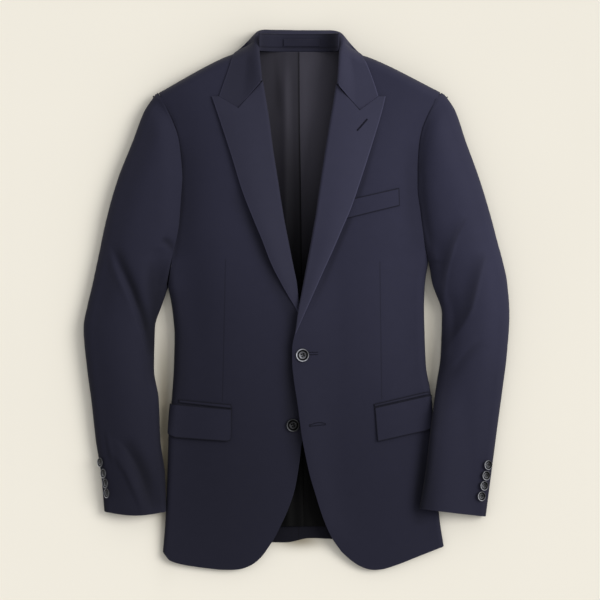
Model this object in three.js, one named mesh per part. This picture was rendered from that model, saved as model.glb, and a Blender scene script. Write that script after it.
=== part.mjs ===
// A two-button peak-lapel jacket, laid flat on its back with its front up. Millimetres.
// The wearer's left is +X and right is -X, the collar is at +Y, the hem at -Y, and z = 0 is the
// surface it lies on. Each piece that is cut and sewn is a thin closed wall of its own.
import * as THREE from "three";
import { mergeVertices } from "three/addons/utils/BufferGeometryUtils.js";

// ---- Driving sizes -------------------------------------------------------------------------
const CLOTH = 1.8; // wool with its interlining
const LINING = 1.0;
const SEAM = 0.36; // gap between two pieces at a seam
const LAY = 0.6; // gap under a piece that lies on another
const FOLD = 3.8; // outer radius where a lapel folds over the edge of the front
const RIDGE_SLOPE = 0.887; // cosine of the shoulder line's slope
const SWELL = 60; // distance over which the front rises from its edge to its full height
const FRONT_BUTTON = 20; // diameter of a front button
const CUFF_BUTTON = 14.8; // diameter of a cuff button
const BUTTON_GAP = 0.7; // gap under a button, where its thread is

// ---- Tables: one row for each level, section or corner ------------------------------------
// The body, from hem to neck: where its sides turn under, the radius of that turn, and the
// height of the front in the middle. Above the armholes the sides run on under the sleeves.
const BODY = [
  { y: -415, right: -205, left: 228, rim: 5.0, crown: 10 },
  { y: -383, right: -203, left: 226, rim: 5.6, crown: 13 },
  { y: -335, right: -199, left: 219, rim: 6.5, crown: 18 },
  { y: -265, right: -196, left: 213, rim: 8.0, crown: 25 },
  { y: -200, right: -194, left: 210, rim: 9.0, crown: 31 },
  { y: -147, right: -189, left: 206, rim: 10.0, crown: 36 },
  { y: -100, right: -186, left: 198, rim: 11.0, crown: 40 },
  { y: -55, right: -185, left: 196, rim: 11.5, crown: 43 },
  { y: -10, right: -189, left: 195, rim: 12.0, crown: 47 },
  { y: 19, right: -194.5, left: 196, rim: 12.5, crown: 49 },
  { y: 58, right: -200, left: 201.5, rim: 12.5, crown: 51 },
  { y: 110, right: -207, left: 213, rim: 13.0, crown: 53 },
  { y: 180, right: -207, left: 213, rim: 13.0, crown: 53 },
  { y: 250, right: -213, left: 219, rim: 13.0, crown: 50 },
  { y: 300, right: -234, left: 242, rim: 13.0, crown: 46 },
  { y: 345, right: -262, left: 270, rim: 13.0, crown: 42 },
  { y: 400, right: -290, left: 300, rim: 13.0, crown: 38 },
];
// The top of the shoulders, where front and back meet, from the right sleeve to the left.
const RIDGE = [
  { x: -300, y: 265 },
  { x: -208, y: 315.6 },
  { x: -116, y: 365 },
  { x: -94, y: 372 },
  { x: -62, y: 388 },
  { x: 0, y: 400 },
  { x: 70, y: 387 },
  { x: 100, y: 370 },
  { x: 150, y: 350.5 },
  { x: 221, y: 315.4 },
  { x: 300, y: 277 },
];
// Front armhole seams, from the shoulder down to the underarm.
const ARMHOLE = {
  right: [
    { y: 312, x: -209 },
    { y: 290, x: -196 },
    { y: 269, x: -186 },
    { y: 245, x: -178 },
    { y: 215, x: -174 },
    { y: 187, x: -172 },
    { y: 157, x: -174 },
    { y: 117, x: -177 },
    { y: 84, x: -183 },
    { y: 59, x: -189 },
    { y: 44, x: -191.5 },
    { y: 19, x: -194.5 },
  ],
  left: [
    { y: 312, x: 220 },
    { y: 299, x: 210 },
    { y: 278, x: 199 },
    { y: 257, x: 191 },
    { y: 234, x: 187 },
    { y: 202, x: 185 },
    { y: 170, x: 185 },
    { y: 137, x: 189 },
    { y: 106, x: 193 },
    { y: 73, x: 198 },
    { y: 58, x: 201.5 },
  ],
};
// The inner edge of each front: the roll line, then the front edge down to the round corner.
const FRONT_EDGE = {
  right: [
    { y: 392, x: -58 },
    { y: 368, x: -54 },
    { y: 339, x: -51 },
    { y: 309, x: -46 },
    { y: 271, x: -40 },
    { y: 232, x: -35 },
    { y: 187, x: -28 },
    { y: 124, x: -18 },
    { y: 88, x: -11 },
    { y: 52, x: -4 },
    { y: 25, x: 1.5 },
    { y: -10, x: 5 },
    { y: -60, x: 12 },
    { y: -110, x: 14 },
    { y: -170, x: 14 },
    { y: -225, x: 8 },
    { y: -268, x: 2 },
    { y: -292, x: -3 },
    { y: -321, x: -13 },
    { y: -345, x: -24 },
    { y: -363, x: -33 },
    { y: -378, x: -43 },
  ],
  left: [
    { y: 392, x: 68 },
    { y: 368, x: 64 },
    { y: 339, x: 62 },
    { y: 299, x: 56 },
    { y: 264, x: 50 },
    { y: 232, x: 45 },
    { y: 197, x: 39.5 },
    { y: 163, x: 34.5 },
    { y: 131, x: 30 },
    { y: 91, x: 23 },
    { y: 61, x: 17.5 },
    { y: 23, x: 10.5 },
    { y: -19, x: 2.6 },
    { y: -43, x: -0.5 },
    { y: -74, x: -6 },
    { y: -93, x: -6 },
    { y: -116, x: -4 },
    { y: -163, x: 3 },
    { y: -202, x: 8 },
    { y: -239, x: 15 },
    { y: -266, x: 21 },
    { y: -293, x: 29 },
    { y: -322, x: 38 },
    { y: -348, x: 48 },
    { y: -364, x: 56 },
    { y: -383, x: 69 },
  ],
};
// The hem of each front, from the side to the round corner.
const FRONT_HEM = {
  right: [
    { x: -203, y: -383 },
    { x: -192, y: -397 },
    { x: -173, y: -403 },
    { x: -126, y: -410 },
    { x: -102, y: -412 },
    { x: -78, y: -406 },
    { x: -59, y: -394 },
    { x: -43, y: -378 },
  ],
  left: [
    { x: 226, y: -375 },
    { x: 183, y: -392 },
    { x: 158, y: -402 },
    { x: 135, y: -409 },
    { x: 120, y: -411 },
    { x: 104, y: -409 },
    { x: 87, y: -399 },
    { x: 69, y: -383 },
  ],
};
const BACK_HEM = -366;
// The outer edge of each lapel, from the peak down to the point where it ends.
const LAPEL_EDGE = {
  right: [
    { y: 309, x: -128 },
    { y: 271, x: -115 },
    { y: 216, x: -97 },
    { y: 167, x: -82 },
    { y: 123, x: -65 },
    { y: 91, x: -51.5 },
    { y: 56, x: -38 },
    { y: 29, x: -24.5 },
    { y: 5, x: -11 },
    { y: -10, x: -2 },
  ],
  left: [
    { y: 309, x: 136 },
    { y: 292, x: 132 },
    { y: 232, x: 114 },
    { y: 179, x: 97 },
    { y: 138, x: 83 },
    { y: 110, x: 71 },
    { y: 72, x: 54.5 },
    { y: 41, x: 40.5 },
    { y: 5, x: 24.5 },
    { y: -30, x: 8.5 },
  ],
};
// Corners of the gorge, where the collar is sewn to the lapel: its top at the roll line, the
// notch, the collar's own tip, and the peak of the lapel.
const GORGE = {
  right: { top: [-51, 333], notch: [-88, 291], tip: [-117, 309], peak: [-128, 309], end: [-1, -12] },
  left: { top: [62, 328], notch: [97, 287.5], tip: [125, 309], peak: [136, 309], end: [3.5, -34] },
};
// The sleeves, from the shoulder to the cuff: outer and inner edge, the radius of those edges,
// and the height of the crown. Above the underarm the inner edge runs on inside the body.
const SLEEVE = {
  right: [
    { y: 309, outer: -216.5, inner: -150, rim: 13, crown: 40 },
    { y: 289, outer: -230, inner: -150, rim: 14, crown: 45 },
    { y: 243, outer: -248, inner: -150, rim: 14, crown: 48 },
    { y: 182, outer: -272, inner: -150, rim: 14, crown: 48 },
    { y: 122, outer: -289, inner: -158, rim: 14, crown: 46 },
    { y: 61, outer: -302, inner: -178, rim: 14, crown: 44 },
    { y: 19, outer: -311, inner: -194.5, rim: 13.5, crown: 42 },
    { y: -8, outer: -317.5, inner: -204, rim: 13, crown: 40 },
    { y: -42, outer: -323.5, inner: -214.5, rim: 13, crown: 38 },
    { y: -106, outer: -318, inner: -216, rim: 12.5, crown: 36 },
    { y: -150, outer: -312, inner: -209, rim: 12, crown: 34 },
    { y: -213, outer: -305, inner: -207.5, rim: 11, crown: 31 },
    { y: -264, outer: -297, inner: -202, rim: 10, crown: 28 },
    { y: -322, outer: -292, inner: -201, rim: 9, crown: 24 },
  ],
  left: [
    { y: 312, outer: 227, inner: 165, rim: 13, crown: 40 },
    { y: 289, outer: 242, inner: 165, rim: 14, crown: 45 },
    { y: 243, outer: 258, inner: 165, rim: 14, crown: 48 },
    { y: 182, outer: 280, inner: 165, rim: 14, crown: 48 },
    { y: 122, outer: 298, inner: 174, rim: 14, crown: 46 },
    { y: 91, outer: 306, inner: 187, rim: 14, crown: 45 },
    { y: 58, outer: 315, inner: 201.5, rim: 13.5, crown: 44 },
    { y: 27, outer: 321.5, inner: 207, rim: 13, crown: 42 },
    { y: -22, outer: 325, inner: 222, rim: 13, crown: 40 },
    { y: -84, outer: 321, inner: 220, rim: 12.5, crown: 37 },
    { y: -132, outer: 315, inner: 213, rim: 12, crown: 35 },
    { y: -191, outer: 307, inner: 205, rim: 11, crown: 33 },
    { y: -260, outer: 298, inner: 197, rim: 10, crown: 29 },
    { y: -322, outer: 290, inner: 187, rim: 9, crown: 25 },
  ],
};
// How far the hindarm seam lies in from the sleeve's outer edge, below less than 0.
const HINDARM = [
  { y: 200, reach: -84 },
  { y: 150, reach: -62 },
  { y: 60, reach: -42 },
  { y: -40, reach: -22 },
  { y: -150, reach: -6 },
  { y: -215, reach: 2 },
  { y: -250, reach: 4 },
  { y: -330, reach: 4.5 },
];
// The solids that half a sleeve is divided into: the gap between them, and where they end.
const DIVIDE = 0.84;
const HEAD_BOTTOM = 262; // level, and below that the elbow is at the underarm
const SLEEVE_MIDDLE = 0.5; // share of the way across
// How steeply a sleeve's head falls from the armhole seam, and how far out it goes on falling.
const HEAD_SLOPE = 0.6;
const HEAD_WIDTH = 8;
const RIM_SHARE = 1.15; // a sleeve has closer points within this many radii of its edges
const HINDARM_START = 200; // level where the hindarm seam leaves the armhole
const FOREARM_REACH = -10; // the forearm seam lies under the inner edge
const SIDE_REACH = 6; // the front's side seam lies this far under the edge
const SIDE_BACK = [
  { y: 65, right: -184, left: 190 },
  { y: -60, right: -138, left: 148 },
  { y: -380, right: -146, left: 160 },
];
// The collar, from the gorge round to the middle of the back: the fold line, the outer edge of
// the fall, the fold's radius, which way the fall faces (1 up, 0 sideways, -1 down), and the
// height of the fold's centre.
const COLLAR = {
  right: [
    { foldX: -51, foldY: 333, edgeX: -117, edgeY: 309, radius: 3.4, faces: 1, height: 50 },
    { foldX: -52, foldY: 345, edgeX: -110, edgeY: 329, radius: 3.5, faces: 1, height: 49.5 },
    { foldX: -53.5, foldY: 360, edgeX: -103, edgeY: 349, radius: 3.7, faces: 1, height: 47.5 },
    { foldX: -55, foldY: 376, edgeX: -98, edgeY: 364, radius: 4.2, faces: 1, height: 43 },
    { foldX: -55.5, foldY: 389, edgeX: -96, edgeY: 370, radius: 5, faces: 0.75, height: 34 },
    { foldX: -54, foldY: 400, edgeX: -95.5, edgeY: 374, radius: 6, faces: 0.3, height: 25.5 },
    { foldX: -50, foldY: 408, edgeX: -92, edgeY: 373, radius: 7, faces: -0.4, height: 16.5 },
    { foldX: -42, foldY: 411.5, edgeX: -78, edgeY: 366, radius: 8, faces: -0.85, height: 10.5 },
    { foldX: -22, foldY: 411.5, edgeX: -45, edgeY: 361, radius: 8.5, faces: -1, height: 8.6 },
  ],
  left: [
    { foldX: 62, foldY: 328, edgeX: 125, edgeY: 309, radius: 3.4, faces: 1, height: 50 },
    { foldX: 63, foldY: 342, edgeX: 119, edgeY: 328, radius: 3.5, faces: 1, height: 49.5 },
    { foldX: 64, foldY: 357, edgeX: 112, edgeY: 347, radius: 3.7, faces: 1, height: 47.5 },
    { foldX: 65, foldY: 373, edgeX: 106, edgeY: 361, radius: 4.2, faces: 1, height: 43 },
    { foldX: 66, foldY: 386, edgeX: 102, edgeY: 368, radius: 5, faces: 0.75, height: 34 },
    { foldX: 64.5, foldY: 397, edgeX: 101, edgeY: 372, radius: 6, faces: 0.3, height: 25.5 },
    { foldX: 60, foldY: 406, edgeX: 98, edgeY: 371, radius: 7, faces: -0.4, height: 16.5 },
    { foldX: 51, foldY: 410.5, edgeX: 86, edgeY: 364, radius: 8, faces: -0.85, height: 10.5 },
    { foldX: 31, foldY: 411, edgeX: 54, edgeY: 360, radius: 8.5, faces: -1, height: 8.6 },
  ],
};
const COLLAR_BACK = [
  { foldX: 5, foldY: 411, edgeX: 5, edgeY: 359, radius: 8.5, faces: -1, height: 8.6 },
];
const COLLAR_WRAP = 5; // how far the collar turns under the neck edge of the fronts
const NECK_SEAM = { y: 380, middle: 5, half: 50 };
const NECK_DROP = 28; // the front's neck corner lies this far below the shoulder line
// The stand, from the neck seam up to the fold at the back of the neck.
const STAND = { low: 380.2, high: 402.4, from: -47, to: 56, lowZ: 7.6, highZ: 17, ends: 15 };
const LOOP = { fromX: -19, toX: 36, fromY: 387, toY: 397 };
// The lining of the back, laid in a pleat down the middle.
const LINING_BACK = { top: 378, hem: -345, side: 150, pleat: 5, under: -8 };

// Pockets: corners of the flap and of the jet above it, from the side seam inward.
const FLAP = {
  right: { upper: [[-184, -157.8], [-97, -165.5]], lower: [[-185, -208], [-99, -215]] },
  left: { upper: [[200, -145], [119, -163]], lower: [[201, -198], [124, -215]] },
};
const JET = {
  right: { upper: [[-176, -151.5], [-98, -158.5]], lower: [[-176, -156.3], [-97, -164.9]] },
  left: { upper: [[195, -140], [118, -158]], lower: [[196, -144.8], [119, -162.4]] },
};
const WELT = { upper: [[156, 170], [86, 153.5]], lower: [[157, 143], [76, 123]] };
const FLAP_CORNER = 9; // radius of the flap's rounded lower corners
// Buttons: where the middle of each one is.
const FRONT_BUTTONS = [
  { name: "button_top", side: "left", x: 10, y: -83 },
  { name: "button_bottom", side: "right", x: -4.5, y: -190 },
];
const CUFF_BUTTONS = {
  right: [
    { x: -296, y: -247 },
    { x: -291, y: -264 },
    { x: -288, y: -279 },
    { x: -286, y: -294 },
  ],
  left: [
    { x: 291, y: -251 },
    { x: 288, y: -267 },
    { x: 285, y: -282.5 },
    { x: 281, y: -298.5 },
  ],
};

// ---- Small tools ---------------------------------------------------------------------------
const clamp = (value, low, high) => Math.min(high, Math.max(low, value));
const lerp = (a, b, t) => a + (b - a) * t;
const smooth = (t) => {
  const s = clamp(t, 0, 1);
  return s * s * (3 - 2 * s);
};
const signOf = { right: -1, left: 1 };
const SIDES = ["right", "left"];

// A smooth curve through the rows of a table, with no overshoot between them.
function curve(rows, along, column) {
  const sorted = [...rows].sort((a, b) => a[along] - b[along]);
  const at = sorted.map((row) => row[along]);
  const value = sorted.map((row) => row[column]);
  const last = at.length - 1;
  const slopes = at.slice(1).map((t, i) => (value[i + 1] - value[i]) / (t - at[i]));
  const tangents = at.map((_, i) => {
    if (i === 0) return slopes[0];
    if (i === last) return slopes[last - 1];
    const product = slopes[i - 1] * slopes[i];
    return product <= 0 ? 0 : (2 * product) / (slopes[i - 1] + slopes[i]);
  });
  return (t) => {
    if (t <= at[0]) return value[0] + (t - at[0]) * tangents[0];
    if (t >= at[last]) return value[last] + (t - at[last]) * tangents[last];
    let i = 0;
    while (t > at[i + 1]) i += 1;
    const h = at[i + 1] - at[i];
    const s = (t - at[i]) / h;
    const a = (1 + 2 * s) * (1 - s) ** 2 * value[i] + s * (1 - s) ** 2 * h * tangents[i];
    const b = s * s * (3 - 2 * s) * value[i + 1] + s * s * (s - 1) * h * tangents[i + 1];
    return a + b;
  };
}

// A straight-sided path through corners, each reached at its own share of the way.
function path(corners, shares) {
  return (t) => {
    let i = 0;
    while (i < shares.length - 2 && t > shares[i + 1]) i += 1;
    const s = (t - shares[i]) / (shares[i + 1] - shares[i]);
    return [lerp(corners[i][0], corners[i + 1][0], s), lerp(corners[i][1], corners[i + 1][1], s)];
  };
}

// count + 1 stops from one place to another, closer together where spacing() is small.
function spread(from, to, count, spacing) {
  const samples = 80;
  const total = [0];
  for (let i = 1; i <= samples; i += 1) {
    const t = lerp(from, to, (i - 0.5) / samples);
    total.push(total[i - 1] + 1 / spacing(t));
  }
  return Array.from({ length: count + 1 }, (_, k) => {
    const goal = (total[samples] * k) / count;
    let i = 0;
    while (i < samples - 1 && total[i + 1] < goal) i += 1;
    return lerp(from, to, (i + (goal - total[i]) / (total[i + 1] - total[i])) / samples);
  });
}
const even = (from, to, count) => spread(from, to, count, () => 1);

// How cloth turns round an edge: reach is the distance in from the edge, less than 0 below it.
function turn(reach, radius) {
  const angle = (clamp(reach / radius, -1, 1) * Math.PI) / 2;
  const inset = radius * (1 - Math.cos(angle)) + Math.max(0, Math.abs(reach) - radius);
  return { inset, lift: Math.sin(angle) };
}

// The reach that brings cloth to a given distance in from the edge, as seen from above.
function reachAcross(distance, radius) {
  if (distance >= radius) return distance;
  return (Math.acos(1 - Math.max(0, distance) / radius) * 2 * radius) / Math.PI;
}

// ---- The body's surface --------------------------------------------------------------------
const body = Object.fromEntries(
  ["right", "left", "rim", "crown"].map((column) => [column, curve(BODY, "y", column)]),
);
const ridge = curve(RIDGE, "x", "y");

function frontHeight(x, y) {
  const inside = Math.max(0, Math.min(x - body.right(y), body.left(y) - x));
  const edge = 2 * body.rim(y);
  return edge + Math.max(0, body.crown(y) - edge) * (1 - Math.exp(-((inside / SWELL) ** 2)));
}

// The back is raised a little at the neck, where it lies on the fall of the collar.
function backRise(x, y) {
  const across = smooth((150 - Math.abs(x - 3)) / 50);
  return (CLOTH + LAY + 0.6) * across * smooth((y - 290) / 65);
}

// A point of the body. face is 1 on the front and -1 on the back; x beyond the side turns under.
function bodyPoint(side, x, y, face) {
  const sign = signOf[side];
  const outline = body[side](y);
  const rim = body.rim(y);
  const across = turn(sign * (outline - x), rim);
  const px = outline - sign * across.inset;
  const up = turn((ridge(px) - y) * RIDGE_SLOPE, rim);
  const py = y < ridge(px) - rim / RIDGE_SLOPE ? y : ridge(px) - up.inset / RIDGE_SLOPE;
  const lift = face * across.lift * up.lift;
  const height = lift > 0 ? frontHeight(px, py) - rim : rim - backRise(px, py);
  return new THREE.Vector3(px, py, rim + height * lift);
}

// The x to ask bodyPoint for, so that the cloth is at a given x as seen from above.
function bodyX(side, x, y) {
  const sign = signOf[side];
  return body[side](y) - sign * reachAcross(sign * (body[side](y) - x), body.rim(y));
}

// The top front lies over the under front from the roll line's end down.
function overlap(x, y) {
  const across = smooth((70 - x) / 50);
  const along = smooth((95 - y) / 95);
  const folded = 2.4 * Math.exp(-(((y + 18) / 44) ** 2));
  return (CLOTH + LAY + 0.5 + folded) * across * along;
}

// ---- The sleeves' surface ------------------------------------------------------------------
const sleeve = {};
for (const side of SIDES) {
  sleeve[side] = Object.fromEntries(
    ["outer", "inner", "rim", "crown"].map((column) => [column, curve(SLEEVE[side], "y", column)]),
  );
}

// The left sleeve's lower part lies on the side of the body, the right one lies beside it.
function sleeveBase(side, x, y) {
  if (side === "right") return 0;
  const edge = body.left(y);
  const onBody = smooth((-125 - y) / 45) * smooth((edge + 22 - x) / 20);
  return onBody * (frontHeight(edge - 12, y) + 2.2);
}

function sleevePoint(side, x, y, face) {
  const sign = signOf[side];
  const outer = sleeve[side].outer(y);
  const inner = sleeve[side].inner(y);
  const rim = sleeve[side].rim(y);
  const fromOuter = turn(sign * (outer - x), rim);
  const fromInner = turn(sign * (x - inner), rim);
  const nearOuter = Math.abs(x - outer) < Math.abs(x - inner);
  const px = nearOuter ? outer - sign * fromOuter.inset : inner + sign * fromInner.inset;
  const lift = face * fromOuter.lift * fromInner.lift;
  const inside = Math.min(Math.abs(px - outer), Math.abs(px - inner));
  const full = sleeve[side].crown(y) - 2 * rim;
  const crown = 2 * rim + full * (1 - Math.exp(-((inside / 34) ** 2)));
  const base = sleeveBase(side, px, y);
  return new THREE.Vector3(px, y, base + rim + (lift > 0 ? crown - rim : rim) * lift);
}

function sleeveX(side, x, y) {
  const sign = signOf[side];
  const edge = sleeve[side].inner(y);
  return edge + sign * reachAcross(sign * (x - edge), sleeve[side].rim(y));
}

// ---- Walls from grids of points ------------------------------------------------------------
// The outward normal of a surface function of (x, y).
function normalAt(surface, x, y, face) {
  const step = 0.4;
  const alongX = surface(x + step, y).sub(surface(x - step, y));
  const alongY = surface(x, y + step).sub(surface(x, y - step));
  return alongX.cross(alongY).multiplyScalar(face).normalize();
}

// Grids of points off a surface: places is rows of [x, y], off the height above it.
function onSurface(places, surface, face, off) {
  return places.map((row) =>
    row.map(([x, y]) => {
      const height = typeof off === "function" ? off(x, y) : off;
      return surface(x, y).addScaledVector(normalAt(surface, x, y, face), height);
    }),
  );
}

// A thin closed piece on a surface, between two heights above it.
function layer(places, surface, face, upper, lower) {
  return wall(onSurface(places, surface, face, upper), onSurface(places, surface, face, lower));
}

// A closed wall between an outer and an inner grid of the same size.
function wall(outer, inner) {
  const rows = outer.length;
  const columns = outer[0].length;
  const count = rows * columns;
  const positions = [...outer.flat(), ...inner.flat()].flatMap((p) => [p.x, p.y, p.z]);
  const at = (j, i, k) => k * count + j * columns + i;
  const faces = [];
  const quad = (a, b, c, d) => faces.push(a, b, c, a, c, d);
  for (let j = 0; j < rows - 1; j += 1) {
    for (let i = 0; i < columns - 1; i += 1) {
      quad(at(j, i, 0), at(j, i + 1, 0), at(j + 1, i + 1, 0), at(j + 1, i, 0));
      quad(at(j, i, 1), at(j + 1, i, 1), at(j + 1, i + 1, 1), at(j, i + 1, 1));
    }
  }
  for (let i = 0; i < columns - 1; i += 1) {
    quad(at(0, i + 1, 0), at(0, i, 0), at(0, i, 1), at(0, i + 1, 1));
    quad(at(rows - 1, i, 0), at(rows - 1, i + 1, 0), at(rows - 1, i + 1, 1), at(rows - 1, i, 1));
  }
  for (let j = 0; j < rows - 1; j += 1) {
    quad(at(j, 0, 0), at(j + 1, 0, 0), at(j + 1, 0, 1), at(j, 0, 1));
    quad(at(j + 1, columns - 1, 0), at(j, columns - 1, 0), at(j, columns - 1, 1), at(j + 1, columns - 1, 1));
  }
  const corner = (k) => new THREE.Vector3().fromArray(positions, 3 * faces[k]);
  let volume = 0;
  for (let k = 0; k < faces.length; k += 3) volume += corner(k).dot(corner(k + 1).cross(corner(k + 2)));
  if (volume < 0) faces.reverse();
  const geometry = new THREE.BufferGeometry();
  geometry.setAttribute("position", new THREE.Float32BufferAttribute(positions, 3));
  geometry.setIndex(faces);
  return geometry;
}

// ---- Materials and the group ---------------------------------------------------------------
const finish = (color, roughness) => new THREE.MeshStandardMaterial({ color, roughness, metalness: 0 });
const wool = finish(0x2b2c3c, 0.85);
const facing = finish(0x34353f, 0.75);
const liningCloth = finish(0x24262c, 0.55);
const horn = finish(0x2c2a30, 0.4);
const jacket = new THREE.Group();

function add(name, geometry, material) {
  const mesh = new THREE.Mesh(geometry, material);
  mesh.name = name;
  jacket.add(mesh);
  return mesh;
}

// ---- Levels shared by the pieces that meet -------------------------------------------------
const armholeX = {};
const edgeX = {};
const hemY = {};
const lapelX = {};
const armLevels = {};
for (const side of SIDES) {
  armholeX[side] = curve(ARMHOLE[side], "y", "x");
  edgeX[side] = curve(FRONT_EDGE[side], "y", "x");
  hemY[side] = curve(FRONT_HEM[side], "x", "y");
  lapelX[side] = curve(LAPEL_EDGE[side], "y", "x");
  const top = ARMHOLE[side][0].y;
  const bottom = ARMHOLE[side].at(-1).y;
  armLevels[side] = spread(top, bottom, 10, (y) => (y < bottom + 50 ? 12 : 26));
}
const sideLevels = (side) => even(armLevels[side].at(-1), FRONT_HEM[side][0].y, 8).slice(1);
// Levels of the side panel's edges: up the back armhole a little, and down to the back hem.
const SIDE_TOP = 65.1;
const panelLevels = (side) => [
  ...armLevels[side].filter((y) => y < SIDE_TOP),
  ...sideLevels(side).filter((y) => y > BACK_HEM + 8),
  BACK_HEM,
];
const backSeamX = (side, y) => {
  const share = (armLevels[side][0] - y) / (armLevels[side][0] - armLevels[side].at(-1));
  return armholeX[side](y) + signOf[side] * 5 * Math.sin(Math.PI * clamp(share, 0, 1)) ** 2;
};
const sideBackX = (side, y) => curve(SIDE_BACK, "y", side)(y);

// ---- Fronts --------------------------------------------------------------------------------
// A patch between four edges, as rows of [x, y] from the side to the inner edge.
function patch(levels, outerX, innerPoint, topPoint, bottomPoint, shares) {
  const first = levels[0];
  const last = levels.at(-1);
  return levels.map((y) => {
    const v = (y - first) / (last - first);
    const outer = [outerX(y), y];
    const inner = innerPoint(v);
    return shares.map((u) =>
      [0, 1].map((k) => {
        const between = lerp(outer[k], inner[k], u) + lerp(topPoint(u)[k], bottomPoint(u)[k], v);
        const ends = [topPoint(0)[k], topPoint(1)[k], bottomPoint(0)[k], bottomPoint(1)[k]];
        return between - lerp(lerp(ends[0], ends[1], u), lerp(ends[2], ends[3], u), v);
      }),
    );
  });
}

function frontPlaces(side) {
  const sign = signOf[side];
  const levels = [...armLevels[side], ...sideLevels(side)];
  const underarm = armLevels[side].at(-1);
  const outerX = (y) =>
    y >= underarm
      ? bodyX(side, armholeX[side](y) - (sign * SEAM) / 2, y)
      : body[side](y) + sign * (SIDE_REACH * smooth((underarm - y) / 30) - SEAM / 2);
  // the folded lapel closes round the edge above the point where it ends
  const rollEnd = GORGE[side].end[1];
  const inset = (y) => (FOLD + 1) * smooth((y - rollEnd + 12) / 14);
  const neckX = edgeX[side](386) + sign * inset(386);
  const top = (u) => {
    const x = lerp(outerX(levels[0]), neckX, u);
    const neck = NECK_DROP * smooth((u - 0.86) / 0.14);
    return [x, lerp(levels[0], ridge(x) - 0.2, smooth(u * 30)) - neck];
  };
  const corner = FRONT_HEM[side].at(-1);
  const neckY = top(1)[1];
  const shareOf = (y) => (y - levels[0]) / (levels.at(-1) - levels[0]);
  const before = levels.findIndex((y) => lerp(neckY, corner.y, shareOf(y)) < rollEnd + 24);
  const stops = [0, shareOf(levels[before]), shareOf(levels[before + 1]), 1];
  const down = path([[0, neckY], [0, rollEnd + 2], [0, rollEnd - 12], [0, corner.y]], stops);
  const inner = (v) => {
    const y = down(v)[1];
    return [edgeX[side](y) + sign * inset(y), y];
  };
  const bottom = (u) => {
    const x = lerp(outerX(levels.at(-1)), corner.x, u);
    return [x, u === 0 ? levels.at(-1) : hemY[side](x)];
  };
  const shares = spread(0, 1, 11, (u) => (u < 0.11 ? 0.028 : u > 0.9 ? 0.06 : 0.14));
  return patch(levels, outerX, inner, top, bottom, shares);
}

for (const side of SIDES) {
  const surface = (x, y) => bodyPoint(side, x, y, 1);
  const off = side === "left" ? overlap : () => 0;
  const places = frontPlaces(side);
  add(`front_${side}`, layer(places, surface, 1, off, (x, y) => off(x, y) - CLOTH), wool);
}

// ---- Side panels and back ------------------------------------------------------------------
for (const side of SIDES) {
  const sign = signOf[side];
  const surface = (x, y) => bodyPoint(side, x, y, -1);
  const underarm = armLevels[side].at(-1);
  const places = panelLevels(side).map((y) => {
    const seamX =
      y >= underarm
        ? bodyX(side, backSeamX(side, y) - (sign * SEAM) / 2, y)
        : body[side](y) - sign * (SIDE_REACH * smooth((underarm - y) / 30) + SEAM / 2);
    const backX = sideBackX(side, y) + (sign * SEAM) / 2;
    const fine = (x) => (Math.abs(x - body[side](y)) < 14 ? 4 : 16);
    return spread(seamX, backX, 5, fine).map((x) => [x, y]);
  });
  add(`side_panel_${side}`, layer(places, surface, -1, 0, -CLOTH), wool);
}

const CENTRE_BACK = 4;
for (const side of SIDES) {
  const sign = signOf[side];
  const surface = (x, y) => bodyPoint(side, x, y, -1);
  const levels = [...armLevels[side].filter((y) => y > SIDE_TOP), ...panelLevels(side)];
  const outerX = (y) =>
    y > SIDE_TOP
      ? bodyX(side, backSeamX(side, y) - (sign * SEAM) / 2, y)
      : sideBackX(side, y) - (sign * SEAM) / 2;
  const top = path(
    [
      [outerX(levels[0]), levels[0]],
      [sign * 76 + CENTRE_BACK, ridge(sign * 76 + CENTRE_BACK) - 1],
      [sign * 60 + CENTRE_BACK, NECK_SEAM.y - 6],
      [CENTRE_BACK + (sign * SEAM) / 2, NECK_SEAM.y - 1],
    ],
    [0, 0.7, 0.8, 1],
  );
  const ridgeTop = (u) => {
    const [x, y] = top(u);
    return u > 0.02 && u < 0.7 ? [x, ridge(x) - 0.8] : [x, y];
  };
  const inner = (v) => [CENTRE_BACK + (sign * SEAM) / 2, lerp(NECK_SEAM.y - 1, BACK_HEM, v)];
  const bottom = (u) => [lerp(outerX(BACK_HEM), CENTRE_BACK + (sign * SEAM) / 2, u), BACK_HEM];
  const shares = [0, 0.04, 0.18, 0.4, 0.61, 0.7, 0.8, 0.9, 1];
  const places = patch(levels, outerX, inner, ridgeTop, bottom, shares);
  add(`back_${side}`, layer(places, surface, -1, 0, -CLOTH), wool);
}

// ---- Sleeves -------------------------------------------------------------------------------
// Along the armhole a sleeve's edge follows the edge of the body, so that the two are level.
// x beyond the outer edge lies under the sleeve, where it follows the back's armhole instead.
function setIn(side, x, y, face) {
  const point = sleevePoint(side, x, y, face);
  const above = smooth((y - armLevels[side].at(-1) + 6) / 6);
  if (above === 0) return point;
  const edge = sleeve[side].outer(y);
  const beyond = signOf[side] * (x - edge) > 0;
  const looks = beyond ? -face : face;
  const seam = looks > 0 ? armholeX[side](y) : backSeamX(side, y);
  const onBody = bodyPoint(side, bodyX(side, seam, y), y, looks);
  const own = sleevePoint(side, sleeveX(side, seam, y), y, looks);
  const share = Math.exp(-(((point.x - seam) / 20) ** 2));
  point.z = Math.max(0, point.z + (onBody.z - own.z) * share * above);
  return point;
}

// The cuff's edge: curved on the right, slanted on the left.
function cuffDrop(side, share, y) {
  const low = smooth((-240 - y) / 80);
  const across = share < 0 ? -share : share > 1 ? 2 - share : share;
  if (side === "right") return -6 * Math.sin(Math.PI * across) * low;
  return lerp(-8, 5, across) * low;
}

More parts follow.
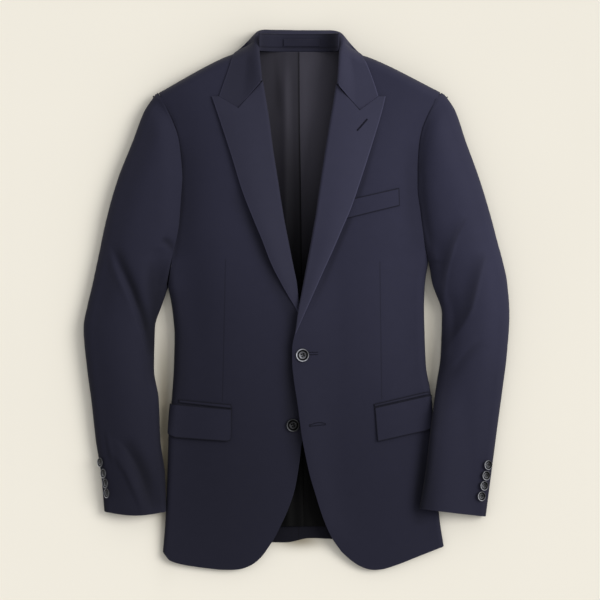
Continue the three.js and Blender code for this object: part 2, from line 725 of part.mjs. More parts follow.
// The head slopes down with the shoulder, from the armhole seam out.
function headDrop(side, x, y) {
  const [top, next] = ARMHOLE[side];
  const out = clamp(signOf[side] * (x - top.x), 0, HEAD_WIDTH);
  return -HEAD_SLOPE * out * smooth((y - next.y) / (top.y - next.y));
}

// The part of a grid of places between two rows and two columns, half a seam short of each cut.
function section(rows, [top, bottom], [near, far]) {
  const toward = Math.sign(rows[0].at(-1)[0] - rows[0][0][0]);
  const lastRow = rows.length - 1;
  const lastColumn = rows[0].length - 1;
  const short = (k, from, to, end) => {
    if (k === from && from > 0) return DIVIDE / 2;
    return k === to && to < end ? -DIVIDE / 2 : 0;
  };
  return rows.slice(top, bottom + 1).map((row, j) =>
    row.slice(near, far + 1).map(([x, y], i) => {
      const across = toward * short(i + near, near, far, lastColumn);
      return [x + across, y - short(j + top, top, bottom, lastRow)];
    }),
  );
}

for (const side of SIDES) {
  const sign = signOf[side];
  const underarm = armLevels[side].at(-1);
  const levels = [...armLevels[side], ...even(underarm, -322, 9).slice(1)];
  const outerAt = (y) => sleeve[side].outer(y);
  const innerAt = (y) => sleeve[side].inner(y);
  const hindarm = curve(HINDARM, "y", "reach");
  const reachAt = (y) => {
    const whole = SEAM - Math.abs(outerAt(y) - sleeveX(side, backSeamX(side, y), y));
    return y > HINDARM_START ? whole : Math.max(hindarm(y), whole);
  };
  const forearm = (y) => FOREARM_REACH * smooth((underarm - y) / 30);
  const spacing = (y) => (x) => {
    const rim = sleeve[side].rim(y) * RIM_SHARE;
    return Math.abs(x - outerAt(y)) < rim || Math.abs(x - innerAt(y)) < rim ? 5 : 17;
  };
  const lay = (from, to, y, count) =>
    spread(from, to, count, spacing(y)).map((x) => {
      const share = (x - outerAt(y)) / (innerAt(y) - outerAt(y));
      const low = y + cuffDrop(side, share, y) + headDrop(side, x, y);
      const moved = [outerAt(low) - outerAt(y), innerAt(low) - innerAt(y)];
      return [x + lerp(moved[0], moved[1], clamp(share, 0, 1)), low];
    });
  // half a sleeve is several solids: its head, then outer and inner ones above and below the elbow
  const addSleeve = (name, places, face) => {
    const rowAt = (y) => places.findIndex((row) => row[0][1] < y);
    const end = places.length - 1;
    const far = places[0].length - 1;
    const middle = Math.round(far * SLEEVE_MIDDLE);
    const head = Math.max(0, rowAt(HEAD_BOTTOM));
    const elbow = rowAt(underarm + 1);
    const parts = {
      head: [[0, head], [0, far]],
      upper_outer: [[head, elbow], [0, middle]],
      upper_inner: [[head, elbow], [middle, far]],
      lower_outer: [[elbow, end], [0, middle]],
      lower_inner: [[elbow, end], [middle, far]],
    };
    for (const [part, [down, across]] of Object.entries(parts)) {
      if (down[0] === down[1]) continue;
      const surface = (x, y) => setIn(side, x, y, face);
      const geometry = layer(section(places, down, across), surface, face, 0, -CLOTH);
      add(`${name}_${part}_${side}`, geometry, wool);
    }
  };
  const topRows = levels.map((y) => {
    const from = outerAt(y) - sign * (reachAt(y) + SEAM / 2);
    const to =
      y >= underarm
        ? sleeveX(side, armholeX[side](y) + (sign * SEAM) / 2, y)
        : innerAt(y) + sign * (forearm(y) + SEAM / 2);
    return lay(from, to, y, 10);
  });
  addSleeve("sleeve_top", topRows, 1);
  const underRows = levels
    .filter((y) => y <= HINDARM_START + 1)
    .map((y) => {
      const from = outerAt(y) + sign * (reachAt(y) - SEAM / 2);
      const to =
        y >= underarm
          ? sleeveX(side, backSeamX(side, y) + (sign * SEAM) / 2, y)
          : innerAt(y) - sign * (forearm(y) - SEAM / 2);
      return lay(from, to, y, 7);
    });
  addSleeve("sleeve_under", underRows, -1);
}

// ---- Lapels --------------------------------------------------------------------------------
// A lapel lies on its front, folded round that front's edge along the roll line.
function lapelPoint(side, x, y) {
  const sign = signOf[side];
  const roll = edgeX[side](y);
  const fold = turn(sign * (x - roll), FOLD);
  const px = roll + sign * fold.inset;
  const base = bodyPoint(side, px, y, 1);
  const normal = normalAt((a, b) => bodyPoint(side, a, b, 1), px, y, 1);
  const raised = side === "left" ? overlap(px, y) : 0;
  const out = sign * (x - roll);
  const spring = 2.4 * smooth((out - FOLD) / 26) * smooth((y - 0) / 90) * smooth((315 - y) / 60);
  return base.addScaledVector(normal, raised + FOLD * fold.lift - CLOTH / 2 + spring);
}

// The collar's edge along the gorge, up to its own tip.
function gorgeAt(side) {
  const { top, notch, tip } = GORGE[side];
  const edge = path([top, notch, tip], [0, 0.52, 1]);
  return (u) => {
    const [x, y] = edge(u);
    return [x, y + SEAM * 1.3];
  };
}

for (const side of SIDES) {
  const sign = signOf[side];
  const { top, notch, tip, peak, end } = GORGE[side];
  const shares = [0, 0.2, 0.36, 0.52, 0.7, 0.88, 1];
  const edge = path([top, notch, tip, peak], [0, 0.52, 0.88, 1]);
  const gorge = (u) => {
    const [x, y] = edge(u);
    return [x, y - (u < 0.95 ? SEAM / 2 : 0)];
  };
  const levels = even(peak[1], end[1] + 6, 11);
  const rows = levels.map((y, j) => {
    const v = j / (levels.length - 1);
    const rollY = lerp(top[1] - SEAM / 2, end[1] + 4, v);
    const roll = edgeX[side](rollY);
    const outerX = lapelX[side](y);
    const wide = Math.max(1.5, sign * (outerX - roll));
    const across = shares.map((u) => {
      const x = roll + sign * wide * u;
      const straight = [lerp(top[0], peak[0], u), lerp(top[1] - SEAM / 2, peak[1], u)];
      const bend = gorge(u).map((value, k) => (value - straight[k]) * (1 - v) ** 2);
      return [x + bend[0], lerp(rollY, y, u) + bend[1]];
    });
    const wrap = Math.min(7, wide * 0.3);
    const under = [1, 0.55].map((part) => [roll - sign * wrap * part, rollY]);
    const round = [roll + sign * Math.min(1.6, wide * 0.12), rollY];
    return [...under, across[0], round, ...across.slice(1)];
  });
  const surface = (x, y) => lapelPoint(side, x, y);
  const outer = rows.map((row) => row.map(([x, y]) => surface(x, y)));
  const innerRows = rows.map((row) =>
    row.map(([x, y]) => surface(x, y).addScaledVector(normalAt(surface, x, y, 1), -CLOTH)),
  );
  add(`lapel_${side}`, wall(outer, innerRows), facing);
}

// ---- Collar --------------------------------------------------------------------------------
// The lowest height for cloth lying on the front near the shoulder line.
function overShoulder(x, y) {
  const clear = LAY + CLOTH;
  const radius = body.rim(y) + clear;
  const distance = clamp((ridge(x) - y) * RIDGE_SLOPE + clear, 0, radius);
  const rise = Math.sqrt(1 - (1 - distance / radius) ** 2);
  return body.rim(y) + (frontHeight(x, y) + clear - body.rim(y)) * rise;
}

// One section across the collar: the fall from its edge to the fold, then round the fold.
function collarSection(row, side, gorge) {
  const fold = new THREE.Vector3(row.foldX, row.foldY, row.height);
  const edge = new THREE.Vector3(row.edgeX, row.edgeY, row.height);
  const along = edge.clone().sub(fold).normalize();
  const across = new THREE.Vector3(along.y, -along.x, 0).multiplyScalar(-signOf[side]);
  const up = new THREE.Vector3(0, 0, row.faces);
  up.addScaledVector(across, Math.sqrt(1 - row.faces ** 2));
  const centre = fold.clone().addScaledVector(along, row.radius);
  const start = centre.clone().addScaledVector(up, row.radius);
  const outer = [1, 0.76, 0.52, 0.26].map((share) => {
    const point = start.clone().lerp(edge, share);
    if (gorge) [point.x, point.y] = gorge(share);
    const floorZ = Math.max(0, start.z * (1 - share) * (1 - share));
    if (row.faces > 0) point.z = overShoulder(point.x, point.y);
    else point.z = lerp(point.z, floorZ, smooth(share * 3));
    return point;
  });
  const inner = outer.map((point) => point.clone().addScaledVector(up, -CLOTH));
  const last = row.faces > 0 ? 1 : 0.89;
  for (const turned of [-1, -0.5, 0, 0.45, last]) {
    const angle = (turned * Math.PI) / 2;
    const ray = along.clone().multiplyScalar(-Math.cos(angle));
    ray.addScaledVector(up, -Math.sin(angle));
    outer.push(centre.clone().addScaledVector(ray, row.radius));
    inner.push(centre.clone().addScaledVector(ray, row.radius - CLOTH));
  }
  const wrap = COLLAR_WRAP * smooth((row.faces - 0.8) / 0.2);
  for (const grid of [outer, inner]) {
    grid.push(grid.at(-1).clone().addScaledVector(along, wrap + 0.4));
  }
  return [outer, inner];
}

const collarRows = [
  ...COLLAR.right.map((row, i) => collarSection(row, "right", i === 0 && gorgeAt("right"))),
  ...COLLAR_BACK.map((row) => collarSection(row, "right", false)),
  ...[...COLLAR.left].reverse().map((row, i, rows) => {
    return collarSection(row, "left", i === rows.length - 1 && gorgeAt("left"));
  }),
];
add("collar", wall(collarRows.map((row) => row[0]), collarRows.map((row) => row[1])), facing);

// The stand inside the back of the neck, its ends rising to the fold.
function standPoint(x, y) {
  const up = (y - STAND.low) / (STAND.high - STAND.low);
  const end = Math.abs(x - NECK_SEAM.middle) / NECK_SEAM.half;
  return new THREE.Vector3(x, y, lerp(STAND.lowZ, STAND.highZ, up) + STAND.ends * end ** 4);
}
const standPlaces = even(STAND.high, STAND.low, 2).map((y) =>
  even(STAND.from, STAND.to, 12).map((x) => [x, y]),
);
add("collar_stand", layer(standPlaces, standPoint, 1, 0, -CLOTH), facing);
const loopPlaces = even(LOOP.toY, LOOP.fromY, 1).map((y) =>
  even(LOOP.fromX, LOOP.toX, 6).map((x) => [x, y]),
);
add("hanger_loop", layer(loopPlaces, standPoint, 1, 1.3, 0.35), facing);

// ---- Lining --------------------------------------------------------------------------------
for (const side of SIDES) {
  const sign = signOf[side];
  const surface = (x, y) => bodyPoint(side, x, y, -1);
  const from = side === "right" ? LINING_BACK.pleat : LINING_BACK.under;
  const outward = (x) => smooth((Math.abs(x - CENTRE_BACK) - 30) / 14);
  const top = (x) => lerp(LINING_BACK.top, ridge(x) - 60, outward(x));
  const xs = spread(from, sign * LINING_BACK.side, 7, (x) => (Math.abs(x) < 26 ? 7 : 28));
  const places = spread(0, 1, 9, (v) => (v < 0.16 ? 0.05 : 0.2)).map((v) => {
    return xs.map((x) => [x, lerp(top(x), LINING_BACK.hem, v)]);
  });
  const pleat = (x) => (side === "right" ? (LINING + LAY) * smooth((x + 26) / 14) : 0);
  const gap = CLOTH + LAY + 0.3;
  const lower = (x) => -gap - pleat(x);
  const upper = (x) => lower(x) - LINING;
  add(`lining_back_${side}`, layer(places, surface, -1, lower, upper), liningCloth);
}

// ---- Pockets -------------------------------------------------------------------------------
// A piece laid on a front between an upper and a lower line, with rounded lower corners.
function laidOn(side, { upper, lower }, counts, corner) {
  return even(0, 1, counts[0]).map((v) =>
    spread(0, 1, counts[1], (u) => (corner && (u < 0.2 || u > 0.8) ? 1 : 2.4)).map((u) => {
      const [a, b] = [upper, lower].map((line) => [0, 1].map((k) => lerp(line[0][k], line[1][k], u)));
      const width = Math.hypot(lower[1][0] - lower[0][0], lower[1][1] - lower[0][1]);
      const fromEnd = Math.min(u, 1 - u) * width;
      const cut = corner - Math.sqrt(Math.max(0, corner ** 2 - Math.max(0, corner - fromEnd) ** 2));
      return [lerp(a[0], b[0], v), lerp(a[1], b[1] + cut, v)];
    }),
  );
}
for (const side of SIDES) {
  const surface = (x, y) => bodyPoint(side, x, y, 1);
  const raised = side === "left" ? overlap : () => 0;
  const lay = (name, places, thickness) => {
    const upper = (x, y) => raised(x, y) + LAY + thickness;
    const lower = (x, y) => raised(x, y) + LAY;
    add(name, layer(places, surface, 1, upper, lower), wool);
  };
  lay(`pocket_flap_${side}`, laidOn(side, FLAP[side], [4, 9], FLAP_CORNER), CLOTH);
  lay(`pocket_jet_${side}`, laidOn(side, JET[side], [1, 8], 0), 1.2);
  if (side === "left") lay("chest_welt", laidOn(side, WELT, [2, 5], 0), 1.4);
}

// ---- Buttons -------------------------------------------------------------------------------
// A round button with a raised rim, a hollow inside it and a low dome in the middle.
function button(name, diameter, point, normal) {
  const r = diameter / 2;
  const thick = diameter * 0.17;
  const profile = [
    [0, 0],
    [r * 0.78, 0],
    [r, thick * 0.45],
    [r * 0.97, thick * 0.86],
    [r * 0.86, thick],
    [r * 0.7, thick * 0.72],
    [r * 0.5, thick * 0.8],
    [0, thick * 0.8],
  ].map(([a, b]) => new THREE.Vector2(a, b));
  const geometry = new THREE.LatheGeometry(profile, 16);
  geometry.applyQuaternion(
    new THREE.Quaternion().setFromUnitVectors(new THREE.Vector3(0, 1, 0), normal),
  );
  const seat = point.clone().addScaledVector(normal, BUTTON_GAP);
  geometry.translate(seat.x, seat.y, seat.z);
  add(name, mergeVertices(geometry.deleteAttribute("uv").deleteAttribute("normal")), horn);
}
for (const { name, side, x, y } of FRONT_BUTTONS) {
  const surface = (a, b) => bodyPoint(side, a, b, 1);
  const normal = normalAt(surface, x, y, 1);
  const raised = side === "left" ? overlap(x, y) : 0;
  button(name, FRONT_BUTTON, surface(x, y).addScaledVector(normal, raised), normal);
}
for (const side of SIDES) {
  const sign = signOf[side];
  CUFF_BUTTONS[side].forEach(({ x, y }, i) => {
    const surface = (a, b) => setIn(side, a, b, 1);
    const edge = sleeve[side].outer(y);
    const reach = reachAcross(sign * (edge - x), sleeve[side].rim(y));
    const at = edge - sign * reach;
    const normal = normalAt(surface, at, y, 1);
    button(`cuff_button_${side}_${i + 1}`, CUFF_BUTTON, surface(at, y), normal);
  });
}

// The origin is the middle of the underside of the whole jacket.
const box = new THREE.Box3().setFromObject(jacket);
const middle = box.getCenter(new THREE.Vector3());
for (const mesh of jacket.children) mesh.geometry.translate(-middle.x, -middle.y, -box.min.z);

export default jacket;
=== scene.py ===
"""A two-button peak-lapel jacket of dark navy wool, laid flat on its back with its front up.

Sizes in the tables are millimetres. The wearer's left is +X, the collar is at +Y and the jacket
lies on z = 0.
"""
import math
from functools import partial

import bpy
import numpy as np
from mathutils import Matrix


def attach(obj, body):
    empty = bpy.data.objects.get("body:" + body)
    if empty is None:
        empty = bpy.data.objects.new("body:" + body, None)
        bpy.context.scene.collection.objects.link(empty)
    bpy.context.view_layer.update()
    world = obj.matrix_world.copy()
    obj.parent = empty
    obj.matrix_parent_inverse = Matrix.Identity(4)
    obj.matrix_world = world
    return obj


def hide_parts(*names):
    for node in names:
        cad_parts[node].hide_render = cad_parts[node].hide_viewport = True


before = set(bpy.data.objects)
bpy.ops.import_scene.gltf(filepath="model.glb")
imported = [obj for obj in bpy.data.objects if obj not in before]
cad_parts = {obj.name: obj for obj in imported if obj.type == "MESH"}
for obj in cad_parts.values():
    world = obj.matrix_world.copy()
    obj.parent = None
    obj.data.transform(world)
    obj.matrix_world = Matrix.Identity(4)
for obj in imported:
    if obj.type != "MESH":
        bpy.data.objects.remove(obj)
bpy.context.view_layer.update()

# ---- Sizes shared with the solids ----------------------------------------------------------
CLOTH, LINING = 1.8, 1.0  # how thick they are
SEAM = 0.06  # gap between two pieces at their seam
LAY = 0.6  # air between two pieces where one lies on the other
FAR = 9.0  # beyond the reach of any seam or dart
FOLD, END_FOLD = 3.8, 1.45  # radius of a lapel's roll, and at its lower end
STAND_OFF = 5.5  # how far the left front's edge stands off the right front
PAINTED_SHADE_STRENGTH = 1.2  # how strongly the painted shade darkens the cloth
RIDGE_SLOPE = 0.887  # distance square to the shoulder line for each mm up the jacket
SWELL, SLEEVE_SWELL = 60, 29  # how far in from their sides the body and a sleeve are full
HEAD_SLOPE, HEAD_RISE, HEAD_WIDTH = 0.9, 2.9, 8.5  # the sleeve's head, out from the armhole
FRONT_BUTTON_SIZE, CUFF_BUTTON_SIZE = 20, 14.8
CUFF_TILT = {"right": 55, "left": 34}  # degrees
ORIGIN = np.array([0.842, 0.217, 0.0])
SIDES = ("right", "left")
SIGN = {"right": -1.0, "left": 1.0}


def table(columns, *rows):
    """A table as one array for each named column."""
    return dict(zip(columns.split(), np.array(rows, float).T))


# Up the body: its two sides, the radius that the cloth turns on there, and the height inside.
BODY = table(
    "y right left rim crown",
    (-415, -205, 228, 5.0, 10), (-383, -203, 226, 5.6, 13), (-335, -199, 219, 6.5, 18),
    (-265, -196, 213, 8.0, 25), (-200, -194, 210, 9.0, 31), (-147, -189, 206, 10.0, 36),
    (-100, -186, 198, 11.0, 40), (-55, -185, 196, 11.5, 43), (-10, -189, 195, 12.0, 47),
    (19, -194.5, 196, 12.5, 49), (58, -200, 201.5, 12.5, 51), (110, -207, 213, 13.0, 53),
    (180, -207, 213, 13.0, 53), (250, -213, 219, 13.0, 50), (300, -234, 242, 13.0, 46),
    (345, -262, 270, 13.0, 42), (400, -290, 300, 13.0, 38),
)
# The shoulder line, where the front turns over to the back.
RIDGE = table(
    "x y",
    (-300, 265), (-208, 315.8), (-112, 368), (-94, 375), (-62, 389), (0, 400), (70, 388),
    (98, 373.5), (112, 369), (221, 315.6), (300, 277),
)
# The seams round the armholes, on the front.
ARMHOLE = {
    "right": table(
        "y x",
        (312, -209), (290, -196), (269, -186), (245, -178), (215, -174), (187, -172),
        (157, -174), (117, -177), (84, -183), (59, -189), (44, -191.5), (19, -194.5),
    ),
    "left": table(
        "y x",
        (312, 220), (299, 210), (278, 199), (257, 191), (234, 187), (202, 185),
        (170, 185), (137, 189), (106, 193), (73, 198), (58, 201.5),
    ),
}
# The fronts' inner edges: the roll lines of the lapels, then the free edges down to the hem.
FRONT_EDGE = {
    "right": table(
        "y x",
        (392, -58), (368, -54), (339, -51), (309, -46), (271, -40), (232, -35), (187, -28),
        (124, -18), (88, -11), (52, -4), (25, 1.5), (-10, 5), (-60, 12), (-110, 14), (-170, 14),
        (-225, 8), (-268, 2), (-292, -3), (-321, -13), (-345, -24), (-363, -33), (-378, -43),
    ),
    "left": table(
        "y x",
        (392, 68), (368, 64), (339, 62), (299, 56), (264, 50), (232, 45), (197, 39.5),
        (163, 34.5), (131, 30), (91, 23), (61, 17.5), (23, 10.5), (-19, 2.6), (-43, -0.5),
        (-74, -6), (-93, -6), (-116, -4), (-163, 3), (-202, 8), (-239, 15), (-266, 21),
        (-293, 29), (-322, 38), (-348, 48), (-364, 56), (-383, 69),
    ),
}
# The fronts' lower edges, from the side round to the inner edge.
FRONT_HEM = {
    "right": table(
        "x y",
        (-203, -383), (-192, -397), (-173, -403), (-150, -406.8), (-126, -409.8), (-113, -411),
        (-100, -411.3), (-89, -410.6), (-80, -408.8), (-72.7, -406.2), (-66, -402.6), (-59.7, -398),
        (-54, -392.7), (-48.6, -386.2), (-43, -378),
    ),
    "left": table(
        "x y",
        (226, -375), (183, -392), (158, -402), (146, -406.2), (135, -409.5), (128, -410.8),
        (120, -411.3), (112, -410.5), (104, -408.2), (96, -404.6), (87, -398.9), (78, -391.5),
        (69, -383),
    ),
}
BACK_HEM = -366
# The lapels' outer edges, from the peak down.
LAPEL_EDGE = {
    "right": table(
        "y x",
        (309, -128), (271, -115), (216, -97), (167, -82), (123, -65), (91, -51.5), (56, -38),
        (29, -24.5), (5, -11), (-10, -2), (-20, 3.6), (-27, 8),
    ),
    "left": table(
        "y x",
        (309, 136), (292, 132), (232, 114), (179, 97), (138, 83), (110, 71), (72, 54.5),
        (41, 40.5), (5, 24.5), (-30, 8.8), (-42, 3.4), (-50, 0),
    ),
}
# The gorge, from the roll line out to the collar's tip and the lapel's peak, and the roll's end.
GORGE = {
    "right": dict(
        top=(-51, 333), notch=(-88, 291), tip=(-117, 309), peak=(-128, 309), end=(7, -26)
    ),
    "left": dict(
        top=(62, 328), notch=(97, 287.5), tip=(125, 309), peak=(136, 309), end=(-0.8, -50)
    ),
}
# How far a lapel's outer edge stands off the front, and how full it is between edge and roll.
LAPEL_RISE = table(
    "y edge full",
    (-50, 0.0, 0.0), (-20, 0.8, 0.3), (10, 2.6, 0.8), (50, 5.0, 1.4), (90, 6.5, 2.0),
    (140, 5.5, 2.4), (200, 3.6, 2.6), (260, 1.8, 2.4), (309, 0.4, 0.4),
)
# Down each sleeve: its two sides, the radius they turn on, and the height of its middle.
SLEEVE = {
    "right": table(
        "y outer inner rim crown",
        (309, -216.5, -150, 13, 40), (289, -230, -150, 14, 45), (243, -248, -150, 14, 48),
        (182, -272, -150, 14, 48), (122, -289, -158, 14, 46), (61, -302, -178, 14, 44),
        (19, -311, -194.5, 13.5, 42), (-8, -317.5, -204, 13, 40), (-42, -323.5, -214.5, 13, 38),
        (-106, -318, -216, 12.5, 36), (-150, -312, -209, 12, 34), (-213, -305, -206.5, 11, 31),
        (-264, -297, -199.5, 10, 28), (-322, -292, -197.5, 9, 24),
    ),
    "left": table(
        "y outer inner rim crown",
        (312, 227, 165, 13, 40), (289, 242, 165, 14, 45), (243, 258, 165, 14, 48),
        (182, 280, 165, 14, 48), (122, 298, 174, 14, 46), (91, 306, 187, 14, 45),
        (58, 315, 201.5, 13.5, 44), (27, 321.5, 207, 13, 42), (-22, 325, 222, 13, 40),
        (-84, 321, 220, 12.5, 37), (-132, 315, 213, 12, 35), (-191, 307, 205, 11, 33),
        (-260, 298, 197, 10, 29), (-322, 290, 187, 9, 25),
    ),
}
# How far in from a sleeve's outer side its hindarm seam lies on top: less than 0 is underneath.
HINDARM = table(
    "y reach",
    (200, -84), (150, -62), (60, -42), (-40, -22), (-150, -6), (-215, 2), (-250, 4), (-330, 4.5),
)
HINDARM_START = 200
FOREARM_REACH = -10
SIDE_REACH = 6
# The seams between the side panels and the back.
SIDE_BACK = table("y right left", (65, -184, 190), (-60, -138, 148), (-380, -146, 160))
# Round the collar from gorge to gorge: its fold, its outer edge, the fold's radius, how far it
# faces up (1) or down (-1), and the fold's height.
COLLAR = table(
    "fold_x fold_y edge_x edge_y radius faces height",
    (-51, 333, -117, 309, 3.4, 1, 50), (-52, 345, -110, 329, 3.5, 1, 49.5),
    (-53.5, 360, -103, 349, 3.7, 1, 47.5), (-55, 376, -98, 364, 4.2, 1, 43),
    (-55.5, 389, -96, 370, 5, 0.75, 34), (-54, 400, -95.5, 374, 6, 0.3, 25.5),
    (-50, 408, -92, 373, 7, -0.4, 16.5), (-42, 411.5, -78, 366, 8, -0.85, 10.5),
    (-22, 411.5, -45, 361, 8.5, -1, 8.6), (5, 411, 5, 359, 8.5, -1, 8.6),
    (31, 411, 54, 360, 8.5, -1, 8.6), (51, 410.5, 86, 364, 8, -0.85, 10.5),
    (60, 406, 98, 371, 7, -0.4, 16.5), (64.5, 397, 101, 372, 6, 0.3, 25.5),
    (66, 386, 102, 368, 5, 0.75, 34), (65, 373, 106, 361, 4.2, 1, 43),
    (64, 357, 112, 347, 3.7, 1, 47.5), (63, 342, 119, 328, 3.5, 1, 49.5),
    (62, 328, 125, 309, 3.4, 1, 50),
)
COLLAR_WRAP = 5
NECK_SEAM = dict(y=380, middle=5, half=50)
STAND = dict(low=380.2, high=402.4, start=-47, stop=56, low_z=7.6, high_z=17, ends=15)
STAND_STITCHING = (384, 403.5)
GROOVE_DEPTH, GROOVE_WIDTH = 0.7, 1.1  # of the stand's stitching
LOOP = dict(from_x=-19, to_x=36, from_y=387, to_y=397)
LINING_BACK = dict(top=378, hem=-345, side=150)
LINING_GAP = CLOTH + LAY + 0.3
CENTRE_BACK = 4
FLAP = {
    "right": (((-190, -157.5), (-97, -165.5)), ((-190.5, -209), (-99, -215))),
    "left": (((203, -144.5), (119, -163)), ((204, -197.5), (124, -215))),
}
JET = {
    "right": (((-178, -151.2), (-98, -158.5)), ((-178, -156.3), (-97, -164.9))),
    "left": (((199, -139.2), (118, -158)), ((200, -144.3), (119, -162.4))),
}
WELT = (((156, 170), (86, 153.5)), ((157, 143), (76, 123)))
FLAP_CORNER = {"right": (9, 6), "left": (6, 2)}
DART = {"right": ((-107, 62), (-112, -154)), "left": ((127, 58), (130, -150))}
FRONT_BUTTONS = (("button_top", "left", 10, -83), ("button_bottom", "right", -4.5, -190))
CUFF_BUTTONS = {
    "right": ((-296, -247), (-291, -264), (-288, -279), (-286, -294)),
    "left": ((291, -251), (288, -267), (285, -282.5), (281, -298.5)),
}

# Folds in the cloth: height, width of the steep side, width of the gentle side, then the path.
# The steep side is on the right of the direction of travel.
FOLDS = {
    "sleeve_right": (
        (
            -7.5, 4.5, 13,
            ((-282, 84), (-270, 53), (-254, 20), (-238, -18), (-226, -58), (-219, -92)),
        ),
        (2.2, 7, 4, ((-284, 80), (-276, 50), (-262, 20), (-250, -4))),
        (-9.0, 15, 12, ((-208, 80), (-208, 45), (-207, 10), (-210, -35))),
        (3.2, 5, 9, ((-284, -228), (-272, -238), (-257, -262), (-240, -300), (-232, -326))),
        (-4.2, 5, 13, ((-276, -206), (-258, -224), (-240, -254), (-226, -290), (-216, -322))),
        (1.4, 3, 5, ((-289, -195), (-284, -222), (-278, -250))),
        (-2.6, 6, 6, ((-204, 92), (-196, 88), (-186, 78))),
        (-2.2, 18, 18, ((-300, 150), (-290, 60), (-300, -40))),
    ),
    "sleeve_left": (
        (3.4, 4, 14, ((222, -8), (223, 26), (228, 52), (236, 82), (246, 114), (257, 134))),
        (3.2, 5, 13, ((262, -30), (266, -5), (272, 20), (278, 46), (285, 74))),
        (2.2, 5, 16, ((226, -104), (240, -92), (258, -76), (278, -60))),
        (-3.0, 14, 10, ((232, 10), (236, -30), (232, -80))),
    ),
    "front_left": (
        (1.5, 7, 16, ((132, -152), (150, -122), (166, -96), (180, -70))),
        (-1.0, 26, 26, ((182, 20), (168, -40), (164, -100))),
    ),
    "front_right": (
        (-1.2, 22, 22, ((-150, 120), (-158, 20), (-162, -100))),
    ),
}

# Painted shade where creases, hollows and cast shadows fall; less than 0 is painted light. How
# much, width on the right and on the left, path.
PAINTED_SHADE = {
    "lining_left": ((-1.1, 40, 40, ((26, 420), (24, 300), (20, 160), (18, 40))),),
    "lining_right": (
        (-0.2, 30, 30, ((-24, 420), (-20, 330), (-12, 260), (-6, 200))),
        (0.25, 5, 5, ((-31, 378), (-28, 335), (-25, 280))),
        (-0.16, 5, 5, ((-15, 378), (-14, 320), (-11, 240))),
        (0.35, 3, 3, ((4, 400), (5, 300), (7, 200), (9, 80))),
    ),
    "lapel_left": ((-0.2, 60, 60, ((104, 430), (84, 280), (70, 200), (40, 90), (6, -70))),),
    "collar": (
        (-0.17, 45, 45, ((84, 450), (92, 353), (104, 240))),
        (0.17, 45, 45, ((-74, 450), (-80, 353), (-92, 240))),
    ),
    "collar_stand": (
        (0.20, 90, 90, ((4, 480), (4, 390), (4, 300))),
        (0.40, 20, 3, ((58, 480), (58, 390), (58, 300))),
        (0.16, 3, 12, ((-50, 480), (-50, 390), (-50, 300))),
    ),
    "sleeve_right": (
        (0.50, 5, 7, ((-272, 78), (-259, 47), (-246, 16), (-234, -18), (-225, -55), (-220, -85))),
        (0.42, 13, 40, ((-216, 62), (-214, 30), (-212, -10), (-216, -70), (-214, -130))),
        (0.30, 4, 5, ((-204, 94), (-194, 88), (-184, 74))),
        (0.35, 8, 12, ((-260, -212), (-244, -238), (-230, -270), (-220, -318))),
        (0.45, 10, 20, ((-204, -150), (-200, -215), (-196, -270), (-196, -322))),
    ),
    "sleeve_left": (
        (-0.12, 22, 30, ((296, 130), (302, 40), (306, -20), (300, -110))),
        (0.36, 10, 2.5, ((258, 126), (247, 104), (238.6, 85), (227.3, 41), (222, -6), (224, -30))),
        (
            0.36, 13, 3,
            ((287, 74), (280, 48), (274.7, 27), (266, -10), (254, -34), (240, -54), (224, -80)),
        ),
        (0.30, 16, 14, ((222, -20), (226, -60), (226, -100), (220, -150), (212, -200))),
        (0.42, 30, 17, ((206, -150), (202, -200), (196, -260), (190, -330), (188, -380))),
        (0.16, 4, 10, ((284, -58), (266, -74), (250, -96), (238, -120))),
        (0.30, 6, 6, ((196, 250), (192, 200), (196, 140), (204, 90), (208, 50), (210, 20))),
        (
            0.28, 3, 3,
            ((222, 322), (202, 278), (190, 234), (187, 185), (191, 137), (200, 73), (206, 30)),
        ),
    ),
    "front_right": (
        (0.09, 70, 90, ((-110, 60), (-110, -140), (-110, -330), (-110, -560))),
        (0.30, 30, 16, ((-186, 20), (-180, -60), (-182, -140), (-186, -200))),
        (
            0.40, 13, 14,
            ((6, 30), (-2, -20), (-6, -60), (-9, -110), (-5, -170), (3, -230), (14, -290)),
        ),
        (0.16, 26, 22, ((-176, 250), (-168, 190), (-170, 120), (-180, 60))),
        (
            0.28, 3.5, 3.5,
            ((-202, 312), (-184, 269), (-172, 215), (-172, 150), (-180, 84), (-190, 30)),
        ),
        (0.34, 10, 10, ((-96, 170), (-74, 128), (-52, 78), (-34, 36), (-16, 4), (-2, -40))),
    ),
    "front_left": (
        (0.42, 9, 12, ((205, -180), (198, -215), (192, -260), (186, -300), (186, -345))),
        (0.14, 14, 26, ((182, 240), (176, 190), (178, 130), (188, 70))),
        (0.26, 4, 4, ((126, 262), (102, 179), (88, 138), (76, 110), (60, 72), (44, 32), (20, -20))),
    ),
}

# Painted shadow on the floor where the jacket keeps the light off it: how much, its middle and its
# half sizes, in metres.
PAINTED_FLOOR_SHADOW = (
    (0.80, 0.004, -0.366, 0.040, 0.013),
    (0.80, -0.202, -0.17, 0.017, 0.13),
    (0.50, -0.198, -0.29, 0.017, 0.07),
    (0.46, 0.203, -0.10, 0.012, 0.12),
)
FLOOR_COLOR, SHADE_COLOR = (0.80, 0.765, 0.68), (0.13, 0.105, 0.06)


# ---- Small tools ---------------------------------------------------------------------------
def lerp(a, b, t):
    return a + (b - a) * t


def smooth(t):
    s = np.clip(t, 0.0, 1.0)
    return s * s * (3 - 2 * s)


def fade(value, start, stop):
    """Goes smoothly from 0 at the start to 1 at the stop."""
    return smooth((value - start) / (stop - start))


def bell(away, width):
    """1 at no distance, and soon nothing past the width."""
    return np.exp(-((away / width) ** 2))


def joined(*parts):
    """Points from their coordinates, over one grid."""
    return np.stack(np.broadcast_arrays(*parts), -1)


